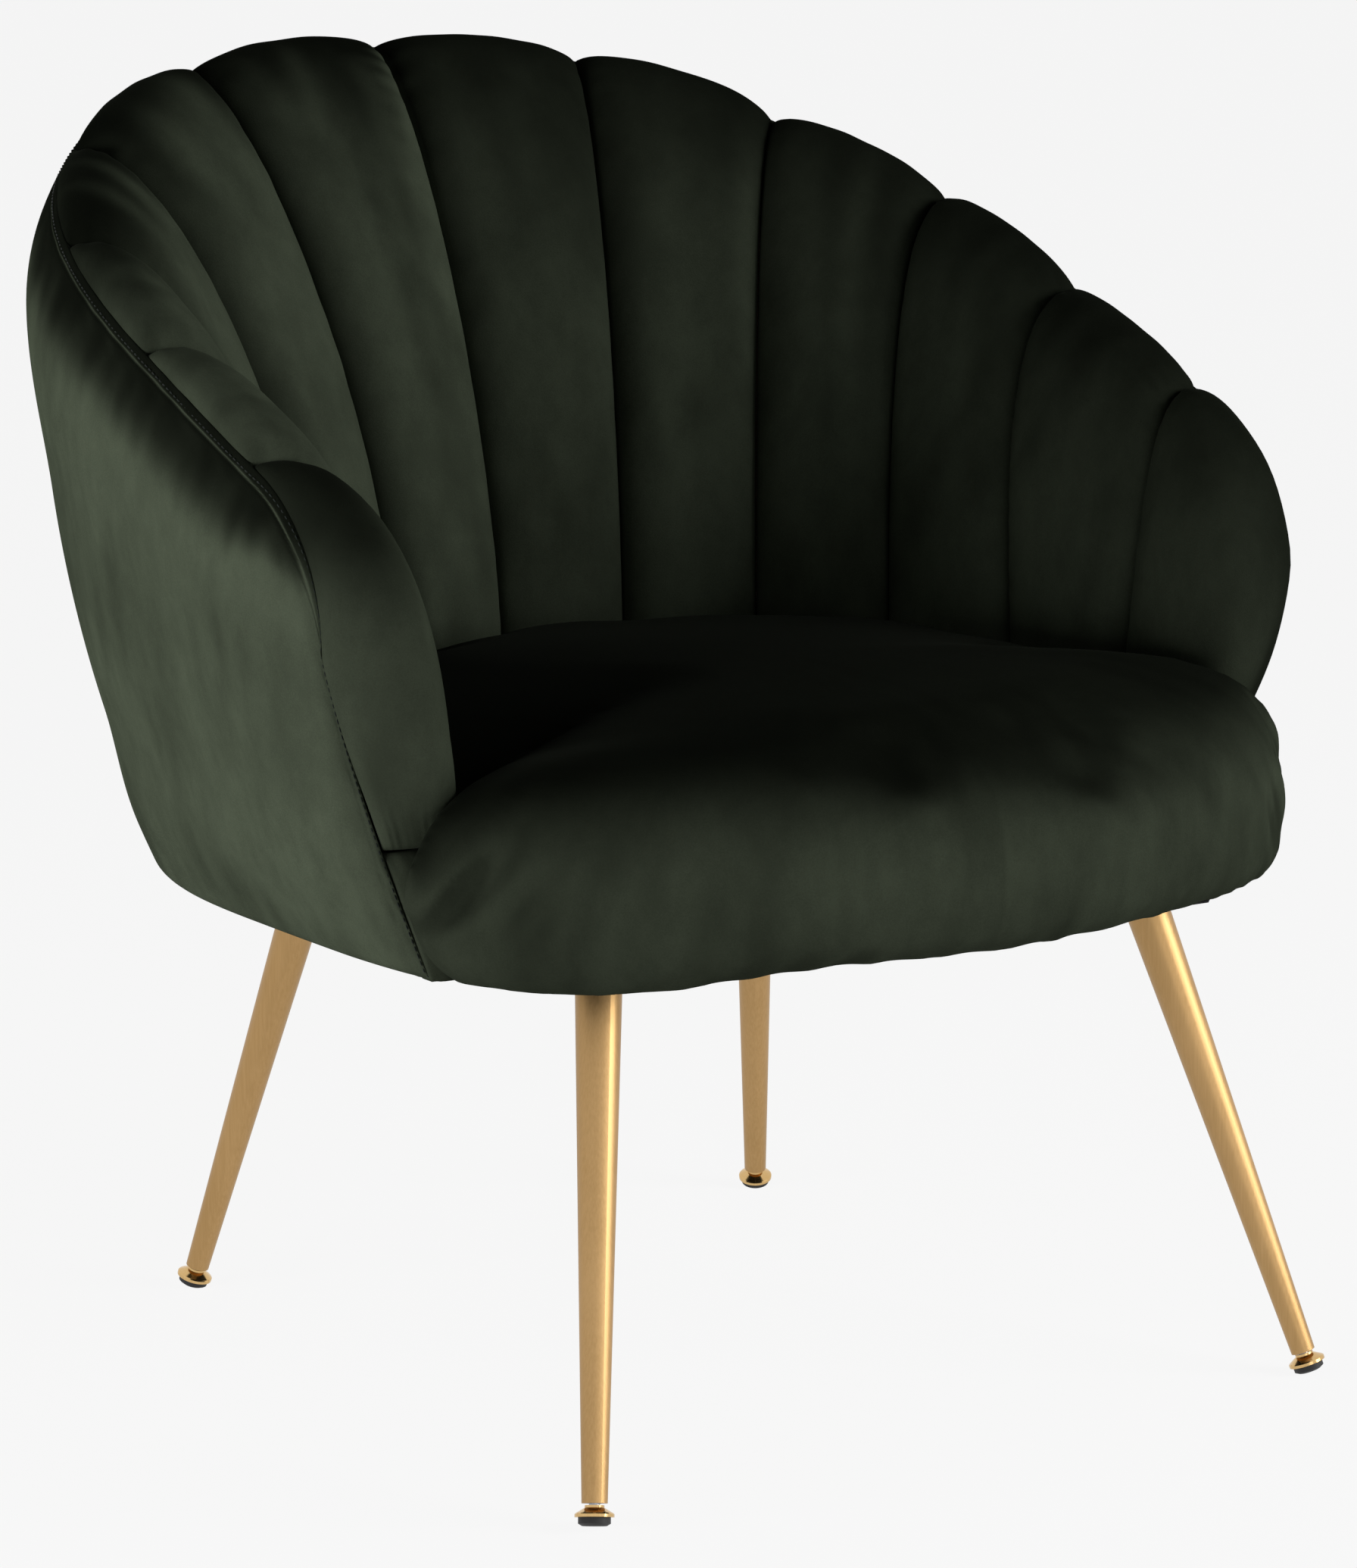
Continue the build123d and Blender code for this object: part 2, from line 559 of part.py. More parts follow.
def gusset_face(z, sign):
    """Section of the gusset at height z."""
    outer = PLAN_END[0] - front_inset(z) - TOUCH_GAP
    inner = outer - GUSSET_WIDTH
    rear = ARM_FRONT_Y - TOUCH_GAP
    front = rear - GUSSET_DEPTH
    points = [(inner, rear), (outer, rear), (outer - GUSSET_TAPER, front), (inner, front)]
    edges = Polyline(*[(sign * x, y, z) for x, y in points], close=True)
    return make_face(edges)


for side, sign in (("left", -1), ("right", 1)):
    levels = (FLOOR_CLEARANCE + GUSSET_RISE, (FLOOR_CLEARANCE + GUSSET_TOP) / 2, GUSSET_TOP)
    PARTS[f"arm_gusset_{side}"] = loft([gusset_face(z, sign) for z in levels])

# Timber uprights between the lining and the outer cover, tied by the hoop under the rim
UPRIGHTS = {"back_middle": 0, "back_left": -2, "back_right": 2, "arm_left": -4, "arm_right": 4}
UPRIGHT_INNER = LINING_SETBACK + LINING_THICKNESS + UPRIGHT_LINING_GAP
UPRIGHT_OUTER = COVER_THICKNESS + UPRIGHT_COVER_GAP


def hoop_centre(u):
    return rim_point(u) - rim_normal(u) * HOOP_INSET - UP * HOOP_DROP


def upright(u):
    """Flat post in the vertical plane of seam u."""
    across = rim_normal(u)
    rim = rim_point(u)
    plan = np.array([rim[0], rim[1], 0.0])
    ahead, behind = hoop_centre(u + 0.05), hoop_centre(u - 0.05)
    fall = abs(ahead[2] - behind[2]) / np.linalg.norm((ahead - behind)[:2])
    top = rim[2] - HOOP_DROP - HOOP_HEIGHT / 2 - HOOP_GAP - fall * UPRIGHT_THICKNESS / 2
    low = RAIL_Z
    inner, outer = [], []
    for v in np.linspace(0.0, 0.9, 60):
        q = seam_point(u, v)
        if q[2] <= top:
            inner.append((float(np.dot(q - plan, across)) + UPRIGHT_INNER, float(q[2])))
    inner = [(inner[0][0], low)] + inner[::8] + [(inner[-1][0], top)]
    for z in np.linspace(top, low, 9):
        outer.append((wall_offset(plan, z) - UPRIGHT_OUTER, float(z)))
    face_plane = Plane(origin=vec(plan), x_dir=vec(across), z_dir=vec(np.cross(across, UP)))
    outline = Polyline(*(inner + outer), close=True)
    face = face_plane * make_face(outline)
    return extrude(face, amount=UPRIGHT_THICKNESS / 2, both=True)


for name, u in UPRIGHTS.items():
    PARTS[f"upright_{name}"] = upright(u)


def hoop_section(u):
    """Upright rectangle across the hoop at seam u."""
    c, n = hoop_centre(u), rim_normal(u)
    a, b = n * HOOP_WIDTH / 2, UP * HOOP_HEIGHT / 2
    corners = [c - a - b, c + a - b, c + a + b, c - a + b]
    return make_face(Polyline(*[vec(p) for p in corners], close=True))


PARTS["rim_hoop"] = loft([hoop_section(u) for u in np.linspace(-HOOP_REACH, HOOP_REACH, 17)])

# Fibreboard lining behind the channels
grid = []
for u in np.linspace(-LINING_REACH, LINING_REACH, 27):
    row = []
    for v in np.linspace(0.02, LINING_TOP, 9):
        row.append(vec(seam_point(u, v) - seam_normal(u, v) * (LINING_SETBACK + LINING_THICKNESS)))
    grid.append(row)
lining = Face.make_surface_from_array_of_points(grid)
PARTS["back_lining"] = Solid.thicken(lining, LINING_THICKNESS)

# Legs, glides and their fixings
LEGS = {
    "front_left": (-1, FRONT_TOP, FRONT_FOOT),
    "front_right": (1, FRONT_TOP, FRONT_FOOT),
    "rear_left": (-1, REAR_TOP, REAR_FOOT),
    "rear_right": (1, REAR_TOP, REAR_FOOT),
}
PAD_END = CAP_GAP + CAP_HEIGHT - PAD_SEAT_DEPTH + PAD_HEIGHT


def leg_frame(sign, top, foot):
    """Lower end of a leg's axis, the unit vector down the axis, and the leg's length to the plate."""
    lean = np.array([foot[0] - top[0], foot[1] - top[1]])
    fall = FLOOR_CLEARANCE
    for _ in range(20):
        down = unit([lean[0], lean[1], -fall])
        tilt = math.hypot(down[0], down[1])
        edges = ((PAD_FACE_RADIUS, PAD_END), (PAD_RADIUS, PAD_END - PAD_BEVEL))
        end_z = max(s * -down[2] + r * tilt for r, s in edges)
        fall = PLATE_Z - end_z
    down = unit([sign * lean[0], lean[1], -fall])
    end = np.array([sign * foot[0], foot[1], end_z])
    return end, down, math.sqrt(lean @ lean + fall ** 2)


def along(end, down, s):
    """Plane across the leg's axis at distance s beyond the end of the tube, facing down the axis."""
    return Plane(origin=vec(end + down * s), z_dir=vec(down))


def spun(end, down, profile):
    """Body of revolution round the leg's axis from (radius, distance) pairs."""
    face = make_face(Polyline(*[(r, 0, s) for r, s in profile], close=True))
    return along(end, down, 0.0) * revolve(face, Axis.Z)


plates, nuts, screws = [], [], []
dust = sheet(base_outline(DUST_INSET, DUST_Z), DUST_Z, DUST_THICKNESS)
for name, (sign, top, foot) in LEGS.items():
    end, down, length = leg_frame(sign, top, foot)
    spread = (LEG_TOP_RADIUS - LEG_END_RADIUS) / length
    wide = LEG_TOP_RADIUS + spread * LEG_OVERLAP
    tube = spun(end, down, [
        (LEG_END_RADIUS - LEG_WALL, 0.0), (LEG_END_RADIUS, 0.0),
        (wide, -length - LEG_OVERLAP), (wide - LEG_WALL, -length - LEG_OVERLAP)])
    room = 2 * RIM_HALF_WIDTH
    cut = slab(-room, room, -room, room, PLATE_Z - TOUCH_GAP / 2, PLATE_Z + room)
    PARTS[f"leg_{name}"] = tube - cut
    hole = spun(end, down, [
        (0.0, 0.0), (LEG_END_RADIUS + DUST_HOLE_GAP, 0.0),
        (wide + DUST_HOLE_GAP, -length - LEG_OVERLAP), (0.0, -length - LEG_OVERLAP)])
    dust = dust - hole

    head = end - down * length
    plate = slab(head[0] - PLATE_LENGTH / 2, head[0] + PLATE_LENGTH / 2, head[1] - PLATE_LENGTH / 2,
                 head[1] + PLATE_LENGTH / 2, PLATE_Z, PLATE_Z + PLATE_THICKNESS)
    for dx in (-1, 1):
        for dy in (-1, 1):
            x = head[0] + dx * (PLATE_LENGTH / 2 - PLATE_SCREW_INSET)
            y = head[1] + dy * (PLATE_LENGTH / 2 - PLATE_SCREW_INSET)
            z = PLATE_Z + PLATE_THICKNESS
            shank = PLATE_SCREW_RADIUS
            screw = Pos(x, y, z) * revolve(make_face(Polyline(
                (0, 0, PLATE_SCREW_LENGTH), (shank, 0, PLATE_SCREW_LENGTH - 3), (shank, 0, -1.6),
                (PLATE_SCREW_HEAD, 0, -PLATE_THICKNESS + 0.2), (0, 0, -PLATE_THICKNESS + 0.2),
                close=True)), Axis.Z)
            room = Pos(x, y, z) * revolve(make_face(Polyline(
                (0, 0, 0.5), (shank + 0.05, 0, 0.5), (shank + 0.05, 0, -1.55),
                (PLATE_SCREW_HEAD + 0.9, 0, -PLATE_THICKNESS - 0.5), (0, 0, -PLATE_THICKNESS - 0.5),
                close=True)), Axis.Z)
            bore = Pos(x, y, z) * revolve(make_face(Polyline(
                (0, 0, PLATE_SCREW_LENGTH + 0.1), (shank + 0.05, 0, PLATE_SCREW_LENGTH - 2.9),
                (shank + 0.05, 0, -1), (0, 0, -1), close=True)), Axis.Z)
            plate = plate - room
            PARTS["base_board"] = PARTS["base_board"] - bore
            screws.append(screw)
    plates.append(plate)

    seat_r = LEG_END_RADIUS - LEG_WALL - 0.05
    bore_r = STUD_RADIUS + STUD_CLEARANCE
    nuts.append(spun(end, down, [(bore_r, 0.0), (seat_r, 0.0), (seat_r, -NUT_LENGTH), (bore_r, -NUT_LENGTH)]))
    stud_end = CAP_GAP + CAP_HEIGHT - PAD_SEAT_DEPTH - 1.0
    PARTS[f"glide_stud_{name}"] = spun(end, down, [
        (0.0, -STUD_TAIL), (STUD_RADIUS - 0.6, -STUD_TAIL), (STUD_RADIUS, -STUD_TAIL + 0.6),
        (STUD_RADIUS, stud_end), (0.0, stud_end)])
    cap_low = CAP_GAP + CAP_HEIGHT
    socket = cap_low - PAD_SEAT_DEPTH
    PARTS[f"glide_cap_{name}"] = spun(end, down, [
        (bore_r, CAP_GAP), (CAP_NECK_RADIUS, CAP_GAP), (CAP_NECK_RADIUS, CAP_GAP + 1.2),
        (CAP_RADIUS - 0.6, cap_low - CAP_RIM - 0.6), (CAP_RADIUS, cap_low - CAP_RIM), (CAP_RADIUS, cap_low),
        (PAD_RADIUS + 0.05, cap_low), (PAD_RADIUS + 0.05, socket), (0.0, socket), (0.0, stud_end + 0.1),
        (bore_r, stud_end + 0.1)])
    PARTS[f"glide_pad_{name}"] = spun(end, down, [
        (0.0, socket + 0.05), (PAD_RADIUS, socket + 0.05), (PAD_RADIUS, PAD_END - PAD_BEVEL),
        (PAD_FACE_RADIUS, PAD_END), (0.0, PAD_END)])
PARTS["leg_plates"] = Compound(children=plates)
PARTS["leg_nuts"] = Compound(children=nuts)
PARTS["plate_screws"] = Compound(children=screws)
PARTS["dust_cover"] = dust

# The origin moves below the middle of the plan box
origin = Pos(0, -(RIM_CENTRE_Y + RIM_BACK_REACH + WALL_BULGE + SEAT_FRONT_Y) / 2, 0)

os.makedirs("parts", exist_ok=True)
for name, shape in PARTS.items():
    export_step(origin * shape, f"parts/{name}.step")
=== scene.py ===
"""Dress the tub armchair: fluted velvet shell, tight velvet seat, brass legs on glides, pale studio."""
import logging
import math
from dataclasses import dataclass
from enum import Enum
from typing import ClassVar

import bpy
import numpy as np
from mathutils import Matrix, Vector


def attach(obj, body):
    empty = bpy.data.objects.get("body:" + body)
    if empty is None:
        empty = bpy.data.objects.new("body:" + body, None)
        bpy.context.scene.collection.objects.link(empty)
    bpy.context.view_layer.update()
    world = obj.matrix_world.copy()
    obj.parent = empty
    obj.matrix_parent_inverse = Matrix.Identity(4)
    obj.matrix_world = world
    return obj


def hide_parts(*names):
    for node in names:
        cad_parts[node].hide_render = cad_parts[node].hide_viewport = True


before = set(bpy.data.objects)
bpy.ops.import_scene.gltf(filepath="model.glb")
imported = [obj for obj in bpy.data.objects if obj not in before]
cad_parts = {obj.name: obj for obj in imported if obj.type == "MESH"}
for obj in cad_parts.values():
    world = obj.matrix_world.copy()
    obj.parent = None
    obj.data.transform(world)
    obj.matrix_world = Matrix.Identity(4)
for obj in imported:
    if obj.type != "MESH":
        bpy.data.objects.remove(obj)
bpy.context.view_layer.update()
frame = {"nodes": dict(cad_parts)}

LOG = logging.getLogger("armchair")
MM = 0.001
ORIGIN = np.array([0.0, 15.0, 0.0])
BODY = "chair"
Array = np.ndarray


def smooth(t: Array) -> Array:
    """Smooth step from 0 to 1.

    Args:
        t: Position along the step, clipped to 0..1.

    Returns:
        The cubic 3t^2 - 2t^3.
    """
    t = np.clip(t, 0.0, 1.0)
    return t * t * (3 - 2 * t)


def unit(v: Array) -> Array:
    """Vectors scaled to length one along the last axis."""
    return v / np.maximum(np.linalg.norm(v, axis=-1, keepdims=True), 1e-9)


def lerp(a: Array, b: Array, t: Array) -> Array:
    """Straight blend from a to b."""
    return a + (b - a) * t


def bell(x: Array, width: float) -> Array:
    """Bell curve of height one at 0: e to the power of minus the square of x over the width."""
    return np.exp(-(x / width) ** 2)


def ripple(x: Array, y: Array, seed: int, count: int = 7) -> Array:
    """Smooth uneven field in -1..1: a sum of sine waves with seeded directions and phases.

    Args:
        x: First coordinate, in waves.
        y: Second coordinate, in waves.
        seed: Seed of the directions and phases.
        count: Number of waves added.

    Returns:
        The field at each point.
    """
    rng = np.random.default_rng(seed)
    angle = rng.uniform(0, 2 * np.pi, count)
    phase = rng.uniform(0, 2 * np.pi, count)
    stretch = rng.uniform(0.6, 1.6, count)
    wave = (np.cos(angle) * x[..., None] + np.sin(angle) * y[..., None]) * stretch
    return np.sin(2 * np.pi * wave + phase).sum(-1) / math.sqrt(count * 2)


class Side(Enum):
    """Left and right as seen from the front, with the sign of X."""

    LEFT = -1
    RIGHT = 1


def grid_faces(rows: int, columns: int, wrap: bool = False, start: int = 0) -> Array:
    """Quads of a grid whose vertices run row by row.

    Args:
        rows: Number of rows.
        columns: Number of columns.
        wrap: Whether the last column joins the first.
        start: Index of the grid's first vertex.

    Returns:
        Vertex indices, one row of four for each quad.
    """
    across = columns if wrap else columns - 1
    r, c = np.meshgrid(np.arange(rows - 1), np.arange(across), indexing="ij")
    n = (c + 1) % columns
    quad = np.stack([r * columns + c, r * columns + n, (r + 1) * columns + n, (r + 1) * columns + c], -1)
    return quad.reshape(-1, 4) + start


def make_piece(name: str, points: Array, faces: Array | list) -> bpy.types.Object:
    """New mesh object from arrays, in metres at the origin.

    Args:
        name: Name of the piece.
        points: Vertices in millimetres.
        faces: Corner indices of each face.

    Returns:
        The linked, smooth-shaded object.
    """
    mesh = bpy.data.meshes.new(name)
    points = (np.asarray(points, np.float64).reshape(-1, 3) - ORIGIN) * MM
    corners = faces if isinstance(faces, list) else faces.tolist()
    mesh.from_pydata(points.tolist(), [], corners)
    mesh.polygons.foreach_set("use_smooth", np.ones(len(mesh.polygons), bool))
    mesh.update()
    piece = bpy.data.objects.new(name, mesh)
    bpy.context.scene.collection.objects.link(piece)
    return piece


def closed_pad(front: Array, back: Array) -> tuple[Array, Array]:
    """Closed skin from two matching grids joined round their edges.

    Args:
        front: Outer grid, rows x columns x 3, seen with its rows up and columns to the left.
        back: Inner grid of the same shape.

    Returns:
        Vertices and quads that point outwards.
    """
    rows, columns = front.shape[:2]
    size = rows * columns
    points = np.concatenate([front.reshape(-1, 3), back.reshape(-1, 3)])
    outer = grid_faces(rows, columns)
    inner = grid_faces(rows, columns, start=size)[:, ::-1]
    index = np.arange(size).reshape(rows, columns)
    loop = np.concatenate([index[0], index[1:, -1], index[-1, -2::-1], index[-2:0:-1, 0]])
    after = np.roll(loop, -1)
    rim = np.stack([loop, loop + size, after + size, after], -1)
    return points, np.concatenate([outer, inner, rim])


@dataclass(frozen=True)
class ShellShape:
    """The shell's guiding curves in millimetres: rim seam, seat well, seam surface and outer wall."""

    floor_clearance: float = 278.0
    half_width: float = 322.0
    back_reach: float = 320.0
    front_reach: float = 700.0
    centre_y: float = 20.0
    squareness: float = 2.5
    arm_height: float = 586.0
    slope: float = math.radians(22.8)
    back_crown: float = 16.0
    crown_half_width: float = 255.0
    crown_blend: float = 100.0
    arm_front_y: float = -154.0
    arm_front_radius: float = 95.0
    arm_seam_height: float = 342.0
    front_lean: float = 14.0
    front_tuck: float = 54.0
    front_tuck_power: float = 1.15
    wall_bulge: float = 19.0
    wall_bulge_drop: float = 60.0
    wall_tuck: float = 52.0
    wall_fade: float = 68.0
    seam_pitch: float = 142.5
    seam_pitch_loss: float = 0.0136
    base_half_width: float = 262.0
    base_back_reach: float = 277.0
    base_centre_y: float = -90.0
    base_step: float = math.radians(17.8)
    base_height: float = 346.0
    rise_share: float = 0.39
    roll_back: float = 60.0
    roll_arm: float = 65.0
    roll_front: float = 16.0
    dip_back: float = -12.0
    dip_step: float = 6.25
    arm_swell: float = 44.0
    swell_from: float = 4.4
    swell_blend: float = 1.1
    swell_loss: float = 0.85
    last_seam: float = 5.0
    plan_points: int = 6000
    front_points: int = 300

    @property
    def bend_y(self) -> float:
        """Where the rim leaves its slope and bends into the arm front."""
        return self.arm_front_y + self.arm_front_radius * (1 - math.sin(self.slope))

    @property
    def bend_z(self) -> float:
        """Height of the centre of that bend, where the arm front turns upright."""
        start = self.arm_height + math.tan(self.slope) * (self.bend_y - self.centre_y)
        return start - self.arm_front_radius * math.cos(self.slope)

    def plan(self) -> Array:
        """Half of the rim's plan, a superellipse, from the middle of the back to the arm front on +X."""
        t = np.linspace(0.0, np.pi, self.plan_points)
        s, c = np.sin(t), np.cos(t)
        e = 2 / self.squareness
        reach = np.where(c > 0, self.back_reach, self.front_reach)
        x = self.half_width * np.abs(s) ** e
        y = self.centre_y + reach * np.sign(c) * np.abs(c) ** e
        keep = y >= self.arm_front_y
        return np.stack([x[keep], y[keep]], -1)

    def plan_normal(self, p: Array) -> Array:
        """Outward normal of the plan curve, from the gradient of its equation."""
        dy = p[..., 1] - self.centre_y
        reach = np.where(dy > 0, self.back_reach, self.front_reach)
        n = self.squareness - 1
        gx = np.sign(p[..., 0]) * np.abs(p[..., 0] / self.half_width) ** n / self.half_width
        gy = np.sign(dy) * np.abs(dy / reach) ** n / reach
        return unit(np.stack([gx, gy, np.zeros_like(gx)], -1))

    def rim_height(self, x: Array, y: Array) -> Array:
        """Rim height: a straight slope with a crown at the back, then a quarter bend at the arm front."""
        crown = self.back_crown * np.clip(1 - (x / self.crown_half_width) ** 2, 0, None)
        crown = crown * smooth((y - self.centre_y) / self.crown_blend)
        slope = self.arm_height + math.tan(self.slope) * (y - self.centre_y) + crown
        back = np.clip(self.arm_front_y + self.arm_front_radius - y, 0, self.arm_front_radius)
        bend = self.bend_z + np.sqrt(np.clip(self.arm_front_radius ** 2 - back ** 2, 0, None))
        return np.where(y >= self.bend_y, slope, bend)

    def front_inset(self, z: Array) -> Array:
        """How far the arm's front edge has drawn in at height z."""
        share = np.clip(self.bend_z - z, 0, None) / (self.bend_z - self.floor_clearance)
        return self.front_tuck * share ** self.front_tuck_power

    def front_advance(self, z: Array) -> Array:
        """How far the arm's front edge has come forward at height z."""
        return self.front_lean * np.clip(self.bend_z - z, 0, None) / (self.bend_z - self.floor_clearance)

    def rim_line(self) -> tuple[Array, Array]:
        """The rim seam on +X as points and their lengths from the middle of the back."""
        plan = self.plan()
        top = np.column_stack([plan, self.rim_height(plan[:, 0], plan[:, 1])])
        z = np.linspace(top[-1, 2], self.floor_clearance, self.front_points)[1:]
        end = np.append(plan[-1], 0.0)
        normal = self.plan_normal(end)
        low = end - normal * self.front_inset(z)[:, None]
        low[:, 1] -= self.front_advance(z)
        low[:, 2] = z
        line = np.concatenate([top, low])
        length = np.concatenate([[0.0], np.cumsum(np.linalg.norm(np.diff(line, axis=0), axis=1))])
        return line, length

    def rim(self, u: Array) -> Array:
        """Rim seam at seam number u: whole numbers are the sewn seams, 0 the middle of the back."""
        line, length = self.rim_line()
        a = np.minimum(np.abs(u), self.last_seam)
        at = self.seam_pitch * a * (1 - self.seam_pitch_loss * a)
        last = float(np.interp(-self.arm_seam_height, -line[:, 2], length))
        at = at + np.clip(np.abs(u) - self.last_seam, 0, None) * (last - at)
        p = np.stack([np.interp(at, length, line[:, i]) for i in range(3)], -1)
        p[..., 0] *= np.where(u < 0, -1.0, 1.0)
        return p

    def rim_normal(self, u: Array) -> Array:
        """Outward plan normal of the rim at seam number u."""
        p = self.rim(u)
        p[..., 1] = np.maximum(p[..., 1], self.arm_front_y)
        return self.plan_normal(p)

    def base(self, u: Array) -> Array:
        """Lower end of seam u, on the ellipse of the seat well."""
        t = self.base_step * u
        x = self.base_half_width * np.sin(t)
        y = self.base_centre_y + self.base_back_reach * np.cos(t)
        return np.stack([x, y, np.full_like(x, self.base_height)], -1)

    def surface(self, u: Array, v: Array) -> Array:
        """Surface through the seams: at each u a cubic from the seat well, up, and out over the rim.

        Args:
            u: Seam numbers.
            v: Position from the seat well, 0, to the rim seam, 1.

        Returns:
            Points, with a last axis of three.
        """
        u, v = np.broadcast_arrays(u, v)
        a = np.abs(u)
        foot, head = self.base(u), self.rim(u)
        last = smooth(a - self.last_seam)
        roll = lerp(lerp(self.roll_back, self.roll_arm, np.minimum(a / 4, 1)), self.roll_front, last)
        dip = (self.dip_back + self.dip_step * np.minimum(a, 4)) * (1 - last)
        swell = np.zeros(u.shape + (3,))
        arm = smooth((a - self.swell_from) / self.swell_blend)
        swell[..., 1] = -self.arm_swell * arm * (1 - self.swell_loss * smooth(2 * a - 11))
        first = foot + swell
        first[..., 2] += self.rise_share * (head - foot)[..., 2]
        second = head - self.rim_normal(u) * roll[..., None] + swell
        second[..., 2] += dip
        v, w = v[..., None], 1 - v[..., None]
        return w ** 3 * foot + 3 * w * w * v * first + 3 * w * v * v * second + v ** 3 * head

    def surface_normal(self, u: Array, v: Array, step: float = 0.01) -> Array:
        """Normal of that surface towards the sitter, from central differences."""
        u, v = np.broadcast_arrays(u, v)
        du = self.surface(u + step, v) - self.surface(u - step, v)
        dv = self.surface(u, np.minimum(v + step, 1)) - self.surface(u, np.maximum(v - step, 0))
        return unit(np.cross(du, dv))


@dataclass(frozen=True)
class Channels:
    """Twelve padded flutes, sewn side by side, that line the back and arms and roll over the rim."""

    shape: ShellShape
    count: int = 12
    crown: float = 16.5
    crown_base: float = 13.0
    crease: float = 2.5
    fullness: float = 2.6
    edge: float = 0.46
    thickness: float = 7.0
    filled_from: float = 0.35
    rim_round: float = 0.13
    rim_power: float = 2.2
    pucker_reach: float = 0.13
    pucker_from: float = 0.72
    pucker_blend: float = 0.2
    pucker_waves: float = 16.0
    pucker_low: float = 0.35
    pucker_high: float = 1.1
    slack: float = 1.2
    rim_pull: float = 0.35
    rim_pull_from: float = 0.86
    rim_pull_blend: float = 0.1
    # Painted light and shade of the flutes: where the arm's rolls end, a ragged edge, shadow at the left
    # seam, shade towards the rim, the lit front flute, and shade on the right flutes.
    rolls_end: float = -4.2
    rolls_blend: float = 1.4
    ragged: float = 0.05
    ragged_loss: float = 0.8
    seam_shadow: float = 0.35
    seam_shadow_rolls: float = 0.8
    fade_from: float = 0.70
    fade_from_rolls: float = 0.92
    fade_width: float = 0.26
    fade_width_rolls: float = 0.07
    rim_shade: float = 0.10
    rim_shade_rolls: float = 0.62
    front_light: float = 0.74
    right_shade_low: float = 0.64
    right_shade_mid: float = 0.90
    right_shade_loss: float = 0.30
    top_shade: float = 0.12
    columns: int = 45
    rows: int = 150
    seam_crowding: float = 0.75
    rim_crowding: float = 1.25
    gap: float = 0.25
    fill: float = 0.85

    def relief(self, f: Array, v: Array, seed: int) -> Array:
        """Height of the padding over the seam surface.

        A superellipse across the flute, rounded off at the rim, with puckers where the seams are pulled.

        Args:
            f: Position across the flute, 0..1.
            v: Position along it, 0..1.
            seed: Seed of the unevenness.

        Returns:
            Heights in millimetres.
        """
        across = np.clip(1 - np.abs(2 * f - 1) ** self.fullness, 0, None) ** self.edge
        end = np.clip((v - 1 + self.rim_round) / self.rim_round, 0, 1)
        rounded = np.sqrt(np.clip(1 - end ** self.rim_power, 0, None))
        along = lerp(self.crown_base, self.crown, smooth(v / self.filled_from)) * rounded
        seam = np.minimum(f, 1 - f)
        high = smooth((v - self.pucker_from) / self.pucker_blend)
        pull = bell(seam, self.pucker_reach) * lerp(self.pucker_low, 1.0, high)
        ending = {1: f, self.count: 1 - f}.get(seed, 1.0)
        strength = lerp(self.pucker_low, self.pucker_high, smooth(ending / 0.4))
        pucker = pull * ripple(v * self.pucker_waves + f, f * 1.5, seed) * strength
        soft = ripple(v * 2.2, f * 0.9, seed + 50) * self.slack * across
        near_rim = smooth((v - self.rim_pull_from) / self.rim_pull_blend)
        rim_pull = near_rim * ripple(f * 3.5, v * 3, seed + 90) * self.rim_pull * across
        return across * along - self.crease * (1 - across) + pucker * across ** 0.3 + soft + rim_pull

    def grid(self) -> tuple[Array, Array]:
        """Places of a flute's points: across, 0..1, closer at its seams, and along, closer at the rim."""
        t = np.linspace(0, 1, self.columns)
        f = lerp(t, (1 - np.cos(np.pi * t)) / 2, self.seam_crowding)
        v = 1 - (1 - np.linspace(0, 1, self.rows)) ** self.rim_crowding
        return np.meshgrid(f, v)

    def painted_shading(self, number: int) -> tuple[Array, Array]:
        """Painted light and shade of the flutes: lit on the left, up to the rim on the arm's rolls, and
        shaded on the right.

        On the left a smooth step along the flute paints shade towards the rim, and one across it paints the
        shadow of the neighbouring flute along its left seam. The front flute is painted dark only where it
        rounds into the rim. On the right the painted shade deepens from the seat up, where the left arm
        keeps the lamp off.

        Args:
            number: Flute number, 1 at the left arm front.

        Returns:
            The weight of this on each point of the flute, and the share of the lighter tone there.
        """
        ff, vv = self.grid()
        u = number - 1 - self.count / 2 + ff
        rolls = 1 - smooth((u - self.rolls_end) / self.rolls_blend)
        ragged = self.ragged * ripple(ff * 3, vv, number + 30) * (1 - self.ragged_loss * rolls)
        # Painted shadow of the neighbouring flute along the left seam.
        flank_shadow = lerp(lerp(self.seam_shadow, self.seam_shadow_rolls, rolls), 1.0, smooth((ff + 0.05) / 0.5))
        # Painted shade towards the rim, later on the arm's rolls.
        start = lerp(self.fade_from, self.fade_from_rolls, rolls)
        fade = smooth((vv - start + ragged) / lerp(self.fade_width, self.fade_width_rolls, rolls))
        light = lerp(1.0, lerp(self.rim_shade, self.rim_shade_rolls, rolls), fade) * flank_shadow
        # Front flute: lit, and painted dark where it rounds into the rim.
        if number == 1:
            rounded = smooth((vv - 0.60 + ragged) / 0.25) * smooth((ff - 0.45) / 0.3)
            light = lerp(self.front_light, self.top_shade, rounded)
        # Right flutes: painted shade, deeper from the seat up, where the left arm keeps the lamp off.
        low = lerp(self.right_shade_low, self.right_shade_mid, smooth((u - 0.8) / 0.6))
        low = low - self.right_shade_loss * smooth((u - 4.6) / 0.8)
        right_shade = lerp(low, self.top_shade, smooth((vv - 0.25 + ragged) / 0.7))
        weight = np.maximum(smooth((-u - 0.2) / 0.8), smooth((u + 0.1) / 0.3))
        share = np.where(u < 0, light, right_shade)
        return np.tile(weight.ravel(), 2), np.tile(share.ravel(), 2)

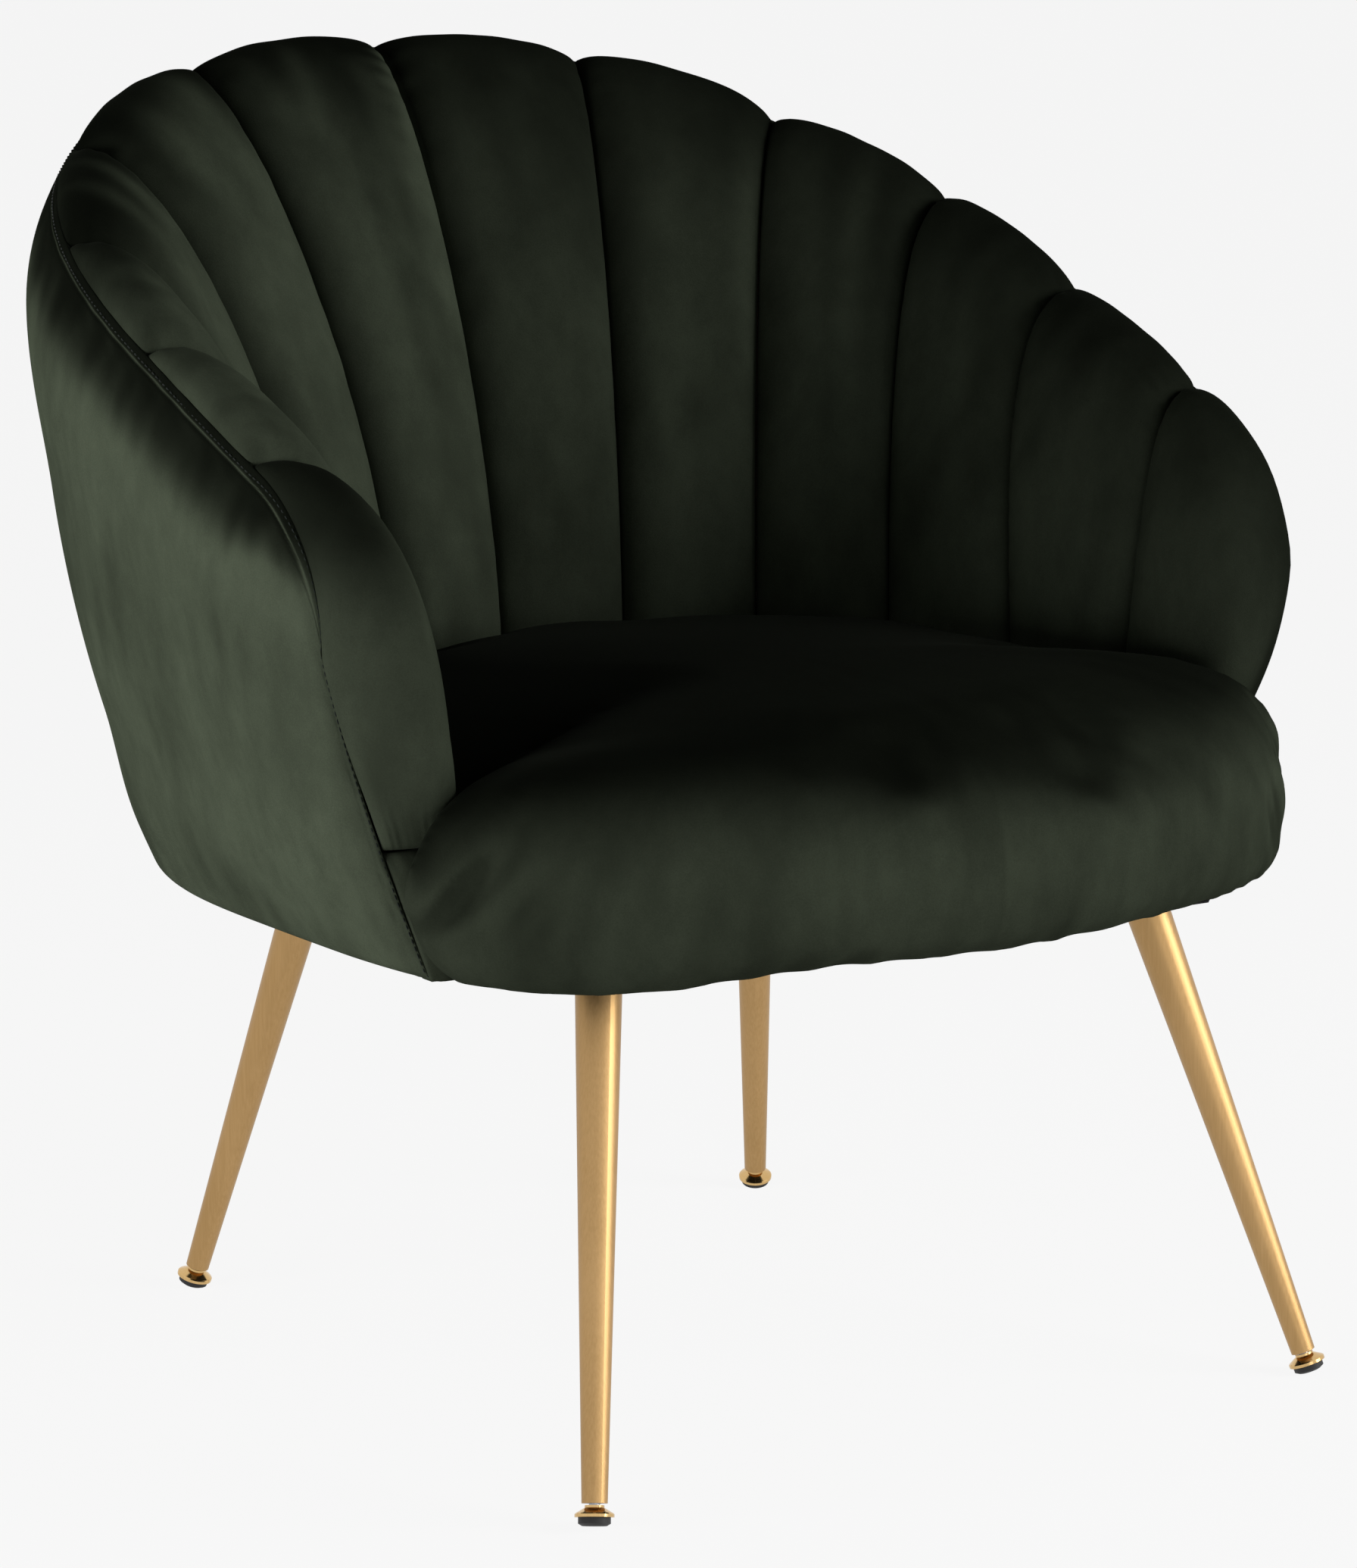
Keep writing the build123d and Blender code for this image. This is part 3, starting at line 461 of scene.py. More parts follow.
    def build(self, number: int) -> bpy.types.Object:
        """One flute as a closed pad.

        Args:
            number: Flute number, 1 at the left arm front.

        Returns:
            The new piece.
        """
        ff, vv = self.grid()
        u = number - 1 - self.count / 2 + ff
        on = self.shape.surface(u, vv)
        normal = self.shape.surface_normal(u, vv)
        along = unit(self.shape.surface(u + 0.01, vv) - self.shape.surface(u - 0.01, vv))
        nip = along * (self.gap * (1 - 2 * ff))[..., None]
        front = on + nip + normal * self.relief(ff, vv, number)[..., None]
        back = on + nip - normal * (self.crease + self.thickness * np.clip(5 - 5 * vv, 0, 1))[..., None]
        points, faces = closed_pad(front, back)
        piece = make_piece(f"flute_{number:02d}", points, faces)
        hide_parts(f"back_channel_{number:02d}")
        return piece


@dataclass(frozen=True)
class OuterWall:
    """Velvet cover of the shell's outside, from the rim seam round to the underside."""

    shape: ShellShape
    columns: int = 300
    end_crowding: float = 1.7
    hem_height: float = 269.0
    swell_least: float = 0.4
    drop_front: float = 0.25
    advance_power: float = 1.5
    slim: float = 6.0
    slim_share: float = 0.3
    slim_from: float = 300.0
    slim_blend: float = 70.0
    band: float = 6.5
    band_rise: float = 0.3
    groove: float = 0.5
    groove_from_band: float = 1.2
    groove_width: float = 1.1
    # Painted shade in the stitched groove and in a band along the rim seam.
    groove_shade: float = 0.22
    groove_shade_width: float = 1.7
    seam_shade: float = 0.35
    seam_reach: float = 26.0
    seam_shade_tone: float = 0.1
    pucker: float = 0.5
    pucker_reach: float = 8.0
    pucker_pitch: float = 24.0
    near_rim: float = 15.0
    near_rows: int = 21
    roll_end: float = 64.0
    roll_rows: int = 16
    wall_rows: int = 70
    edge_rows: int = 9
    under_rows: int = 4
    underside_radius: float = 16.0
    underside_reach: float = 22.0
    thickness: float = 3.0
    fill: float = 0.9

    def stations(self) -> tuple[Array, Array]:
        """Plan points of the columns from the left arm front to the right one, closer at both ends.

        Returns:
            Points at height 0, and their lengths along the plan from the middle of the back.
        """
        plan = self.shape.plan()
        length = np.concatenate([[0.0], np.cumsum(np.linalg.norm(np.diff(plan, axis=0), axis=1))])
        t = np.linspace(-1, 1, self.columns)
        at = np.sign(t) * length[-1] * (1 - (1 - np.abs(t)) ** self.end_crowding)
        x = np.interp(np.abs(at), length, plan[:, 0]) * np.sign(at)
        y = np.interp(np.abs(at), length, plan[:, 1])
        return np.stack([x, y, np.zeros_like(x)], -1), at

    def rows(self) -> tuple[Array, Array, Array, Array]:
        """Row positions: along the roll, down the wall, round the bottom edge and under the frame."""
        near = np.linspace(0, self.near_rim, self.near_rows)
        roll = np.concatenate([near, np.linspace(self.near_rim, self.roll_end, self.roll_rows)[1:]])
        wall = np.linspace(0, 1, self.wall_rows)[1:, None]
        edge = np.linspace(0, 1, self.edge_rows)[1:, None]
        under = np.linspace(0, 1, self.under_rows)[1:, None]
        return roll[:, None], wall, edge, under

    def edge_row(self) -> int:
        """Number of the row where the wall turns under."""
        roll, wall, bottom, _ = self.rows()
        return roll.size + wall.size + bottom.size // 2 - 1

    def grid(self) -> tuple[Array, Array, Array]:
        """Plain surface of the wall.

        The profile at each plan point is a roll from the rim out to the swell, a long arc in to the bottom
        edge, a rounded edge and a short return under the frame. At the arm fronts it fades to the rim seam.

        Returns:
            Points, outward normals, and lengths along the plan.
        """
        s = self.shape
        p, at = self.stations()
        top = s.rim_height(p[:, 0], p[:, 1])
        near = np.clip((p[:, 1] - s.arm_front_y) / s.wall_fade, 0, 1)
        full = np.sqrt(np.clip(1 - (1 - near) ** 2, 0, None))
        swell = np.maximum(s.wall_bulge * full, self.swell_least)
        drop = s.wall_bulge_drop * lerp(self.drop_front, 1.0, near)
        roll, wall, bottom, under = self.rows()

        radius = (drop ** 2 + swell ** 2) / (2 * swell)
        angle = np.arcsin(drop / radius) * (1 - roll / roll.max())
        o_roll = swell - radius * (1 - np.cos(angle))
        z_roll = top - drop + radius * np.sin(angle)

        width = swell + s.wall_tuck
        fall = top - drop - self.hem_height
        big = (fall ** 2 + width ** 2) / (2 * width)
        lean = np.arcsin(fall / big)
        lean = np.arcsin(np.clip((fall - self.underside_radius * (1 - np.sin(lean))) / big, 0, 1))
        o_wall = swell - big * (1 - np.cos(lean * wall))
        z_wall = top - drop - big * np.sin(lean * wall)
        high = smooth((z_wall - self.slim_from) / self.slim_blend)
        o_wall = o_wall - self.slim * smooth(wall / self.slim_share) * high * full

        tilt = lerp(lean, np.pi / 2, bottom)
        o_low = o_wall[-1] - self.underside_radius * (np.cos(lean) - np.cos(tilt))
        z_low = z_wall[-1] - self.underside_radius * (np.sin(tilt) - np.sin(lean))
        o_under = o_low[-1] - self.underside_reach * under
        z_under = z_low[-1] + 0 * under

        offset = np.concatenate([o_roll, o_wall, o_low, o_under])
        z = np.concatenate([z_roll, z_wall, z_low, z_under])
        returned = np.clip(o_low[0] - offset, 0, None) * (z < self.hem_height + self.underside_radius)
        offset = lerp(-s.front_inset(z) - returned, offset, full)
        points = p[None] + s.plan_normal(p)[None] * offset[..., None]
        points[..., 1] -= s.front_advance(z) * (1 - near) ** self.advance_power
        points[..., 2] = z
        normal = unit(np.cross(np.gradient(points, axis=1), np.gradient(points, axis=0)))
        return points, normal, at

    @staticmethod
    def from_seam(points: Array) -> tuple[Array, Array]:
        """Lengths down the wall from the rim, and distances from the seam on the rim and arm fronts."""
        down = np.cumsum(np.linalg.norm(np.diff(points, axis=0, prepend=points[:1]), axis=2), axis=0)
        left = np.linalg.norm(points - points[:, :1], axis=2)
        right = np.linalg.norm(points - points[:, -1:], axis=2)
        return down, np.minimum(down, np.minimum(left, right))

    def painted_shading(self) -> tuple[Array, Array]:
        """Painted shade beside the rim seam: dark in the stitched groove, and somewhat dark around it.

        Returns:
            The weight of this on each point of the cover, and the share of the lighter tone there.
        """
        points, _, _ = self.grid()
        _, d = self.from_seam(points)
        # Painted shade in the groove and in a band along the seam.
        groove = self.groove_shade * bell(d - self.band - self.groove_from_band, self.groove_shade_width)
        weight = np.maximum(groove, self.seam_shade * bell(d, self.seam_reach))
        return np.tile(weight.ravel(), 2), np.full(weight.size * 2, self.seam_shade_tone)

    def lift(self, points: Array, at: Array) -> Array:
        """Relief of the rim seam: a raised felled band, a stitched groove beside it and light puckers.

        Args:
            points: Plain surface.
            at: Lengths along the plan.

        Returns:
            Heights over the plain surface.
        """
        down, d = self.from_seam(points)
        band = self.band_rise * smooth(d / 1.5) * (1 - smooth((d - self.band) / self.groove_from_band))
        groove = self.groove * bell(d - self.band - self.groove_from_band, self.groove_width)
        pull = bell(d - self.band - 1, self.pucker_reach)
        pucker = pull * ripple((at[None] + down) / self.pucker_pitch, d / 60, 7) * self.pucker
        return band - groove + pucker

    def build(self) -> bpy.types.Object:
        """The cover as a closed skin."""
        points, normal, at = self.grid()
        outer = points + normal * self.lift(points, at)[..., None]
        skin, faces = closed_pad(outer, points - normal * self.thickness)
        piece = make_piece("outer_wall", skin, faces)
        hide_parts("outer_cover")
        return piece


@dataclass(frozen=True)
class Stuffing:
    """Filling that swells a cover from inside: cloth under pressure, held where it is tacked down."""

    voxel: float = 0.006
    pressure: float = 3.0
    stiffness: float = 30.0
    bending: float = 10.0
    last_frame: int = 20
    cap: float = 0.007
    easing: int = 14

    @staticmethod
    def settle(piece: bpy.types.Object) -> None:
        """Make the modifiers' result the piece's own mesh."""
        graph = bpy.context.evaluated_depsgraph_get()
        mesh = bpy.data.meshes.new_from_object(piece.evaluated_get(graph))
        old, name = piece.data, piece.data.name
        piece.modifiers.clear()
        piece.data = mesh
        bpy.data.meshes.remove(old)
        mesh.name = name
        mesh.polygons.foreach_set("use_smooth", np.ones(len(mesh.polygons), bool))

    @staticmethod
    def read(piece: bpy.types.Object, field: str) -> Array:
        """The piece's points, "co", or their normals, "normal"."""
        values = np.empty(len(piece.data.vertices) * 3)
        piece.data.vertices.foreach_get(field, values)
        return values.reshape(-1, 3)

    @staticmethod
    def write(piece: bpy.types.Object, points: Array) -> None:
        """Move the piece's points."""
        piece.data.vertices.foreach_set("co", points.ravel())
        piece.data.update()

    def even(self, piece: bpy.types.Object) -> None:
        """Remesh a closed cover into even quads."""
        remesh = piece.modifiers.new("even", "REMESH")
        remesh.mode = "VOXEL"
        remesh.voxel_size = self.voxel
        self.settle(piece)

    def swell(self, piece: bpy.types.Object, held: Array) -> None:
        """Let the cover swell, limit how far each point moves, ease its wrinkles and add one subdivision.

        Args:
            piece: The evenly meshed cover.
            held: Which points are tacked down.
        """
        scene = bpy.context.scene
        start = self.read(piece, "co")
        piece.vertex_groups.new(name="tacked").add(np.flatnonzero(held).tolist(), 1.0, "REPLACE")
        cloth = piece.modifiers.new("cover", "CLOTH")
        fabric = cloth.settings
        fabric.use_pressure = True
        fabric.uniform_pressure_force = self.pressure
        fabric.effector_weights.gravity = 0.0
        fabric.vertex_group_mass = "tacked"
        fabric.tension_stiffness = self.stiffness
        fabric.compression_stiffness = self.stiffness
        fabric.bending_stiffness = self.bending
        cloth.point_cache.frame_start = 1
        cloth.point_cache.frame_end = self.last_frame
        for number in range(1, self.last_frame + 1):
            scene.frame_set(number)
        self.settle(piece)
        move = self.read(piece, "co") - start
        far = np.linalg.norm(move, axis=1, keepdims=True)
        LOG.info("%s swelled by up to %.1f mm", piece.name, far.max() / MM)
        self.write(piece, start + move * np.minimum(1.0, self.cap / np.maximum(far, 1e-9)))
        scene.frame_set(1)
        eased = piece.modifiers.new("eased", "SMOOTH")
        eased.iterations = self.easing
        eased.vertex_group = "tacked"
        eased.invert_vertex_group = True
        finer = piece.modifiers.new("finer", "SUBSURF")
        finer.levels = finer.render_levels = 1
        self.settle(piece)
        piece.vertex_groups.clear()


@dataclass(frozen=True)
class Seat:
    """Tight seat: a crowned top that fills the well, widens before the arms and falls over the front."""

    shape: ShellShape
    crown: float = 410.0
    shoulder_back: float = 396.0
    shoulder_front: float = 403.0
    centre_y: float = -100.0
    well_inset: float = 13.0
    front_y: float = -329.0
    front_half: float = 297.0
    front_wide_y: float = -184.0
    front_back: float = 3.0
    front_square: float = 1.85
    neck_square: float = 4.0
    ease_reach: int = 9
    ease_width: float = 3.2
    wing_point: float = 7.0
    wing_angle: float = math.radians(108)
    wing_spread: float = math.radians(3.5)
    front_angle: float = math.radians(101)
    front_blend: float = math.radians(10)
    ahead_angle: float = math.radians(112)
    ahead_blend: float = math.radians(40)
    corner_angle: float = math.radians(107)
    corner_spread: float = math.radians(6)
    left_dip: float = 14.0
    left_dip_spread: float = math.radians(13)
    right_rise: float = 8.0
    right_rise_angle: float = math.radians(106)
    right_rise_spread: float = math.radians(8)
    edge_back: float = 30.0
    edge_front: float = 82.0
    edge_corner: float = 34.0
    fall_back: float = 40.0
    fall_front: float = 86.0
    fall_corner: float = 14.0
    fullness: float = 2.5
    fullness_loss: float = 0.5
    crown_power: float = 2.6
    well_drop: float = 8.0
    well_tuck: float = 4.0
    hem_height: float = 280.0
    hem_sag: float = 6.0
    hem_sag_angle: float = math.radians(128)
    hem_sag_spread: float = math.radians(16)
    hem_drop_corner: float = 6.0
    hem_tuck_side: float = 16.0
    hem_tuck_corner: float = 34.0
    hem_tuck_front: float = 26.0
    hem_return: float = 26.0
    hem_return_rise: float = 2.0
    gather_reach: float = 17.0
    gather_pitch: float = 46.0
    gather_power: float = 0.8
    gather_left: float = -1.4
    gather_right: float = -0.6
    calm_from: float = 160.0
    calm_blend: float = 80.0
    pull: float = 3.0
    pull_pitch: float = 46.0
    pull_x: float = 264.0
    pull_width: float = 40.0
    pull_z: float = 330.0
    pull_height: float = 32.0
    slack: float = 1.3
    slack_pitch: float = 260.0
    tack_share: float = 0.7
    tack_rise: float = 12.0
    tack_blend: float = 14.0
    tack_least: float = 0.6
    slim: float = 3.0
    # Painted light and shade: lit front of the top, left front shaded by the arm, lit front, darker towards
    # the hem, and shade in the creases.
    top_light: float = 0.11
    top_light_from: float = 60.0
    top_light_blend: float = 240.0
    top_light_left: float = 0.25
    left_light: float = 0.52
    front_light: float = 0.68
    hem_light: float = 0.8
    crease_shade: float = 0.45
    crease_from: float = 0.4
    crease_depth: float = 2.0
    edge_turn: float = 0.97
    edge_ragged: float = 0.05
    columns: int = 880
    top_rows: int = 44
    edge_rows: int = 34
    return_rows: int = 5
    fill: float = 0.9

    def outer_radius(self, phi: Array) -> Array:
        """Plan radius about the seat's centre.

        The well's ellipse behind the arms and the front's superellipse before them, found at each angle from
        its points beyond the one seen furthest to the side.

        Args:
            phi: Angles from the back towards the sides, 0..pi.

        Returns:
            Radii in millimetres.
        """
        s = self.shape
        t = np.linspace(0.0, np.pi, 4001)
        x = (s.base_half_width - self.well_inset) * np.sin(t)
        y = s.base_centre_y - self.centre_y + (s.base_back_reach - self.well_inset) * np.cos(t)
        well = np.interp(phi, np.arctan2(x, y), np.hypot(x, y))
        ahead = np.cos(t) < 0
        e = 2 / np.where(ahead, self.front_square, self.neck_square)
        reach = np.where(ahead, self.front_wide_y - self.front_y, self.front_back)
        x = self.front_half * np.sin(t) ** e
        y = self.front_wide_y - self.centre_y + reach * np.sign(np.cos(t)) * np.abs(np.cos(t)) ** e
        angle = np.arctan2(x, y)
        first = int(np.argmin(angle))
        front = np.interp(phi, angle[first:], np.hypot(x, y)[first:])
        return np.where(phi < angle[first], well, front)

    def skin(self) -> tuple[Array, Array]:
        """Cover as rings about the seat's centre: crowned top, rounded edge, fall to the hem, return.

        The top sinks with a power of the radius, the edge is a superellipse, and the fall draws in by a
        quarter wave. Bell curves over the angle shape the wings, the corners and the sag of the hem.

        Returns:
            Points, and each column's share of the front's shape.
        """
        phi = np.linspace(-np.pi, np.pi, self.columns, endpoint=False)
        radius = self.outer_radius(np.abs(phi))
        spread = bell(np.arange(-self.ease_reach, self.ease_reach + 1), self.ease_width)
        radius = np.convolve(np.tile(radius, 3), spread / spread.sum(), "same")[self.columns:-self.columns]
        radius += self.wing_point * bell(np.abs(phi) - self.wing_angle, self.wing_spread)
        front = smooth((np.abs(phi) - self.front_angle) / self.front_blend)
        ahead = smooth((np.abs(phi) - self.ahead_angle) / self.ahead_blend)
        corner = bell(np.abs(phi) - self.corner_angle, self.corner_spread)
        edge = lerp(self.edge_back, self.edge_front, front) + self.edge_corner * corner
        full = self.fullness - self.fullness_loss * corner
        fall = lerp(self.fall_back, self.fall_front, front) - self.fall_corner * corner
        shoulder = lerp(self.shoulder_back, self.shoulder_front, front)
        shoulder = shoulder - self.left_dip * bell(phi + self.corner_angle, self.left_dip_spread)
        shoulder = shoulder + self.right_rise * bell(phi - self.right_rise_angle, self.right_rise_spread)
        t = np.linspace(0, 1, self.top_rows)[1:, None]
        turn = np.linspace(0, np.pi / 2, self.edge_rows)[1:, None]
        back = np.linspace(0, 1, self.return_rows)[1:, None]
        out = np.sin(turn) ** (2 / full)
        down = np.cos(turn) ** (2 / full)
        waist = shoulder - fall
        sag = self.hem_sag * bell(phi + self.hem_sag_angle, self.hem_sag_spread)
        sag = sag + self.hem_drop_corner * corner * (phi < 0)
        hem = lerp(waist - self.well_drop, self.hem_height - sag, front)
        tuck = lerp(self.hem_tuck_side, self.hem_tuck_front, ahead) + self.hem_tuck_corner * corner
        tuck = lerp(self.well_tuck, tuck, front)
        r_hem = radius - tuck * lerp(1 - np.cos(turn), turn * 2 / np.pi, corner)
        z_hem = waist - (waist - hem) * np.sin(turn)
        r_under = r_hem[-1] - self.hem_return * back
        z_under = z_hem[-1] + self.hem_return_rise * back
        z_top = self.crown - (self.crown - shoulder) * t ** self.crown_power
        r = np.concatenate([t * (radius - edge), radius - edge * (1 - out), r_hem, r_under])
        z = np.concatenate([z_top, shoulder - fall * (1 - down), z_hem, z_under])
        points = np.stack([r * np.sin(phi), self.centre_y + r * np.cos(phi), z], -1)
        return points, front

    def folds(self, p: Array, front: Array) -> Array:
        """Relief of the cover: gathers along the front hem, pulls at the front corners, soft unevenness."""
        x, y, z = p[..., 0], p[..., 1], p[..., 2]
        hem = bell(z - self.hem_height, self.gather_reach) * front
        depth = lerp(self.gather_left, self.gather_right, smooth((x - self.calm_from) / self.calm_blend))
        pleats = ripple(x / self.gather_pitch + y / 60, z / 200, 21)
        gather = hem * np.abs(pleats) ** self.gather_power * depth
        corner = bell(np.abs(x) - self.pull_x, self.pull_width) * bell(z - self.pull_z, self.pull_height)
        slant = ripple((np.abs(x) * 1.7 + z) / self.pull_pitch, (z - np.abs(x) * 0.6) / 120, 33)
        pull = corner * front * slant * self.pull
        slack = ripple(x / self.slack_pitch, y / self.slack_pitch, 41) * self.slack
        return gather + pull + slack

    def build(self) -> bpy.types.Object:
        """The seat as one closed cover over cushion and front border."""
        points, front = self.skin()
        around = np.roll(points, -1, axis=1) - np.roll(points, 1, axis=1)
        normal = unit(np.cross(around, np.gradient(points, axis=0)))
        lift = -self.slim * (1 - self.tacked(points))
        pole = -self.slim
        points = points + normal * lift[..., None]
        rows, columns = points.shape[:2]
        top = np.array([[0.0, self.centre_y, self.crown + pole]])
        under = points[-1].mean(0, keepdims=True)
        under[0, 2] = points[-1, :, 2].max()
        k = np.arange(columns)
        n = (k + 1) % columns
        last = (rows - 1) * columns
        cap = np.stack([np.full(columns, rows * columns), n, k], -1)
        foot = np.stack([np.full(columns, rows * columns + 1), last + k, last + n], -1)
        faces = grid_faces(rows, columns, wrap=True).tolist() + cap.tolist() + foot.tolist()
        skin = np.concatenate([points.reshape(-1, 3), top, under])
        piece = make_piece("seat_cover", skin, faces)
        self.stuff(piece)
        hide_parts("seat_cushion", "seat_front_border")
        return piece

    def share_of_front(self, p: Array) -> Array:
        """How far each point belongs to the front's shape, by its angle about the seat's centre."""
        phi = np.abs(np.arctan2(p[..., 0], p[..., 1] - self.centre_y))
        return smooth((phi - self.front_angle) / self.front_blend)

    def tacked(self, p: Array) -> Array:
        """1 on the hem and the sides of the well, where the cover is tacked down, 0 on the free cover."""
        well = self.shoulder_back - self.fall_back * self.tack_share
        low = lerp(well, self.hem_height + self.tack_rise, self.share_of_front(p))
        return 1 - smooth((p[..., 2] - low) / self.tack_blend)

    def stuff(self, piece: bpy.types.Object) -> None:
        """Swell the slimmer cover, then pull the folds into it."""
        stuffing = Stuffing()
        stuffing.even(piece)
        held = self.tacked(stuffing.read(piece, "co") / MM + ORIGIN) > self.tack_least
        stuffing.swell(piece, held)
        points = stuffing.read(piece, "co")
        here = points / MM + ORIGIN
        lift = self.folds(here, self.share_of_front(here)) * MM
        stuffing.write(piece, points + stuffing.read(piece, "normal") * lift[:, None])

    def painted_shading(self, piece: bpy.types.Object) -> tuple[Array, Array]:
        """Painted light and shade of the seat: black on top, as shade under low lamps, less so at the right
        front, and lighter over the rounded edge, as lit from the front, with painted shade in the creases.

        Args:
            piece: The finished cover.

        Returns:
            The weight of this on each point, whole everywhere, and the share of the lighter tone there.
        """
        p = Stuffing.read(piece, "co") / MM + ORIGIN
        x, y, z = p.T
        ragged = self.edge_ragged * ripple(x / 90, y / 90 + z / 70, 27)
        rise = Stuffing.read(piece, "normal")[:, 2] + ragged
        # Painted light on the front part of the top, less at the left; the rest of the top stays dark as
        # shade.
        top = self.top_light * smooth((-y - self.top_light_from) / self.top_light_blend)
        top = top * lerp(self.top_light_left, 1.0, smooth((x + 150) / 260))
        # Painted light on the front: darker at the left, where the arm shades it, and darker towards the
        # hem.
        front = lerp(self.left_light, self.front_light, smooth((x + 290) / 240))
        front = front * lerp(self.hem_light, 1.0, smooth((z - self.hem_height) / 60))
        # Painted shade in the creases of the folds.
        fold = -self.folds(p, self.share_of_front(p))
        crease = smooth((fold - self.crease_from) / self.crease_depth)
        front = front * (1 - self.crease_shade * crease)
        # The top's painted shade turns into the front's painted light over the rounded edge, by the normal.
        return np.ones(len(p)), lerp(top, front, smooth(self.edge_turn - rise))


@dataclass(frozen=True)
class ArmGussets:
    """Short strips below the seam that ends each front flute, drawn in under the arm."""

    shape: ShellShape
    top_gap: float = 1.2
    foot_height: float = 270.0
    crown: float = 4.0
    thickness: float = 10.0
    flatten: float = 0.45
    pucker: float = 0.9
    pucker_reach: float = 0.16
    seam_dip: float = 1.5
    seam_dip_reach: float = 0.04
    # Painted shadow where the seat meets the strip, lighter along the arm's front edge.
    contact_shadow_tone: float = 0.08
    edge_tone: float = 0.62
    edge_from: float = 0.6
    edge_blend: float = 0.35
    columns: int = 40
    rows: int = 40
    fill: float = 0.8

    def painted_shading(self, side: Side) -> tuple[Array, Array]:
        """Painted light and shade of a strip: lighter along the arm's front edge, painted shadow where the
        seat meets it.

        Args:
            side: Which arm.

        Returns:
            The weight of this on each point, whole everywhere, and the share of the lighter tone there.
        """
        v = np.linspace(0.0, 1.0, self.columns)
        # Painted shadow towards the seat, lighter towards the arm's front edge.
        share = lerp(self.contact_shadow_tone, self.edge_tone, smooth((v - self.edge_from) / self.edge_blend))
        share = np.tile(share if side is Side.LEFT else share[::-1], self.rows * 2)
        return np.ones_like(share), share

    def build(self, side: Side) -> bpy.types.Object:
        """One strip: the lower edge of the front flute carried down and drawn in with the arm's front edge.

        Args:
            side: Which arm.

        Returns:
            The new piece.
        """
        s = self.shape
        v = np.linspace(0.0, 1.0, self.columns)
        w = np.linspace(0.0, 1.0, self.rows)
        vv, ww = np.meshgrid(v, w)
        on = s.surface(np.full_like(vv, 6.0), vv)
        z = lerp(on[..., 2] - self.top_gap, self.foot_height, ww)
        inset = s.front_inset(z) - s.front_inset(on[..., 2])
        straight = lerp(on[:, :1, 1], on[:, -1:, 1], vv)
        advance = s.front_advance(z) - s.front_advance(on[..., 2])
        y = lerp(on[..., 1], straight, self.flatten * ww) - advance * vv
        points = np.stack([on[..., 0] - inset, y, z], -1)
        bulge = self.crown * np.sqrt(np.clip(np.sin(np.pi * ww), 0, 1)) * np.sin(np.pi * vv) ** 0.5
        pucker = bell(ww, self.pucker_reach) * ripple(vv * 3.5, ww * 2, 61) * self.pucker
        points[..., 1] -= bulge + pucker - self.seam_dip * bell(ww, self.seam_dip_reach)
        rear = points.copy()
        rear[..., 1] += self.thickness
        points[..., 0] *= side.value
        rear[..., 0] *= side.value
        if side is Side.RIGHT:
            points, rear = points[:, ::-1], rear[:, ::-1]
        skin, faces = closed_pad(points[::-1], rear[::-1])
        name = side.name.lower()
        piece = make_piece(f"arm_strip_{name}", skin, faces)
        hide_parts(f"arm_gusset_{name}")
        return piece


@dataclass(frozen=True)
class Topstitch:
    """Thread of the felled rim seam: short stitches that run round the rim and down both arm fronts."""

    wall: OuterWall
    distance: float = 4.4
    pitch: float = 4.4
    length: float = 3.1
    radius: float = 0.42
    taper: float = 0.9
    proud: float = 0.2
    dive: float = 0.35
    sides: int = 6
    rings: int = 5

    def build(self) -> bpy.types.Object:
        """All stitches as one piece of small spindles, each along the seam on the wall's surface."""
        grid, normal, _ = self.wall.grid()
        flow = np.linalg.norm(np.diff(grid, axis=0), axis=2)
        down = np.concatenate([np.zeros((1, grid.shape[1])), np.cumsum(flow, axis=0)])
        row = int(np.argmin(np.abs(down[:, grid.shape[1] // 2] - self.distance)))
        side = np.linalg.norm(grid[row] - grid[row, -1], axis=1)
        column = int(np.argmin(np.abs(side - self.distance)))
        mirror = grid.shape[1] - 1 - column
        stop = self.wall.edge_row()
        rise, over = np.arange(stop, row, -1), np.arange(mirror, column + 1)
        rows_in = np.concatenate([rise, np.full(over.size, row), rise[::-1]])
        cols_in = np.concatenate([np.full(rise.size, mirror), over, np.full(rise.size, column)])
        path, out = grid[rows_in, cols_in], normal[rows_in, cols_in]
        run = np.concatenate([[0.0], np.cumsum(np.linalg.norm(np.diff(path, axis=0), axis=1))])
        at = np.arange(self.pitch, run[-1] - self.pitch, self.pitch)

        def along(values: Array, where: Array) -> Array:
            """Values of the path at the given lengths."""
            return np.stack([np.interp(where, run, values[:, i]) for i in range(3)], -1)

        middle, up = along(path, at), unit(along(out, at))
        ahead = unit(along(path, at + 1) - along(path, at - 1))
        across = np.cross(ahead, up)
        t = np.linspace(-1, 1, self.rings)[None, :, None, None]
        a = np.linspace(0, 2 * np.pi, self.sides, endpoint=False)[None, None, :, None]
        waist = self.radius * np.sqrt(1 - self.taper * t ** 2)
        lift = self.wall.band_rise + self.proud - self.dive * t ** 2
        points = middle[:, None, None] + ahead[:, None, None] * t * self.length / 2
        points = points + up[:, None, None] * (lift + waist * np.sin(a))
        points = points + across[:, None, None] * waist * np.cos(a)
        one = grid_faces(self.rings, self.sides, wrap=True)[:, ::-1]
        step = self.rings * self.sides
        tube = (one[None] + (np.arange(at.size) * step)[:, None, None]).reshape(-1, 4)
        start = np.arange(at.size)[:, None] * step
        near = start + np.arange(self.sides)[None]
        far = start + step - self.sides + np.arange(self.sides)[None, ::-1]
        faces = tube.tolist() + near.tolist() + far.tolist()
        return make_piece("rim_topstitch", points.reshape(-1, 3), faces)


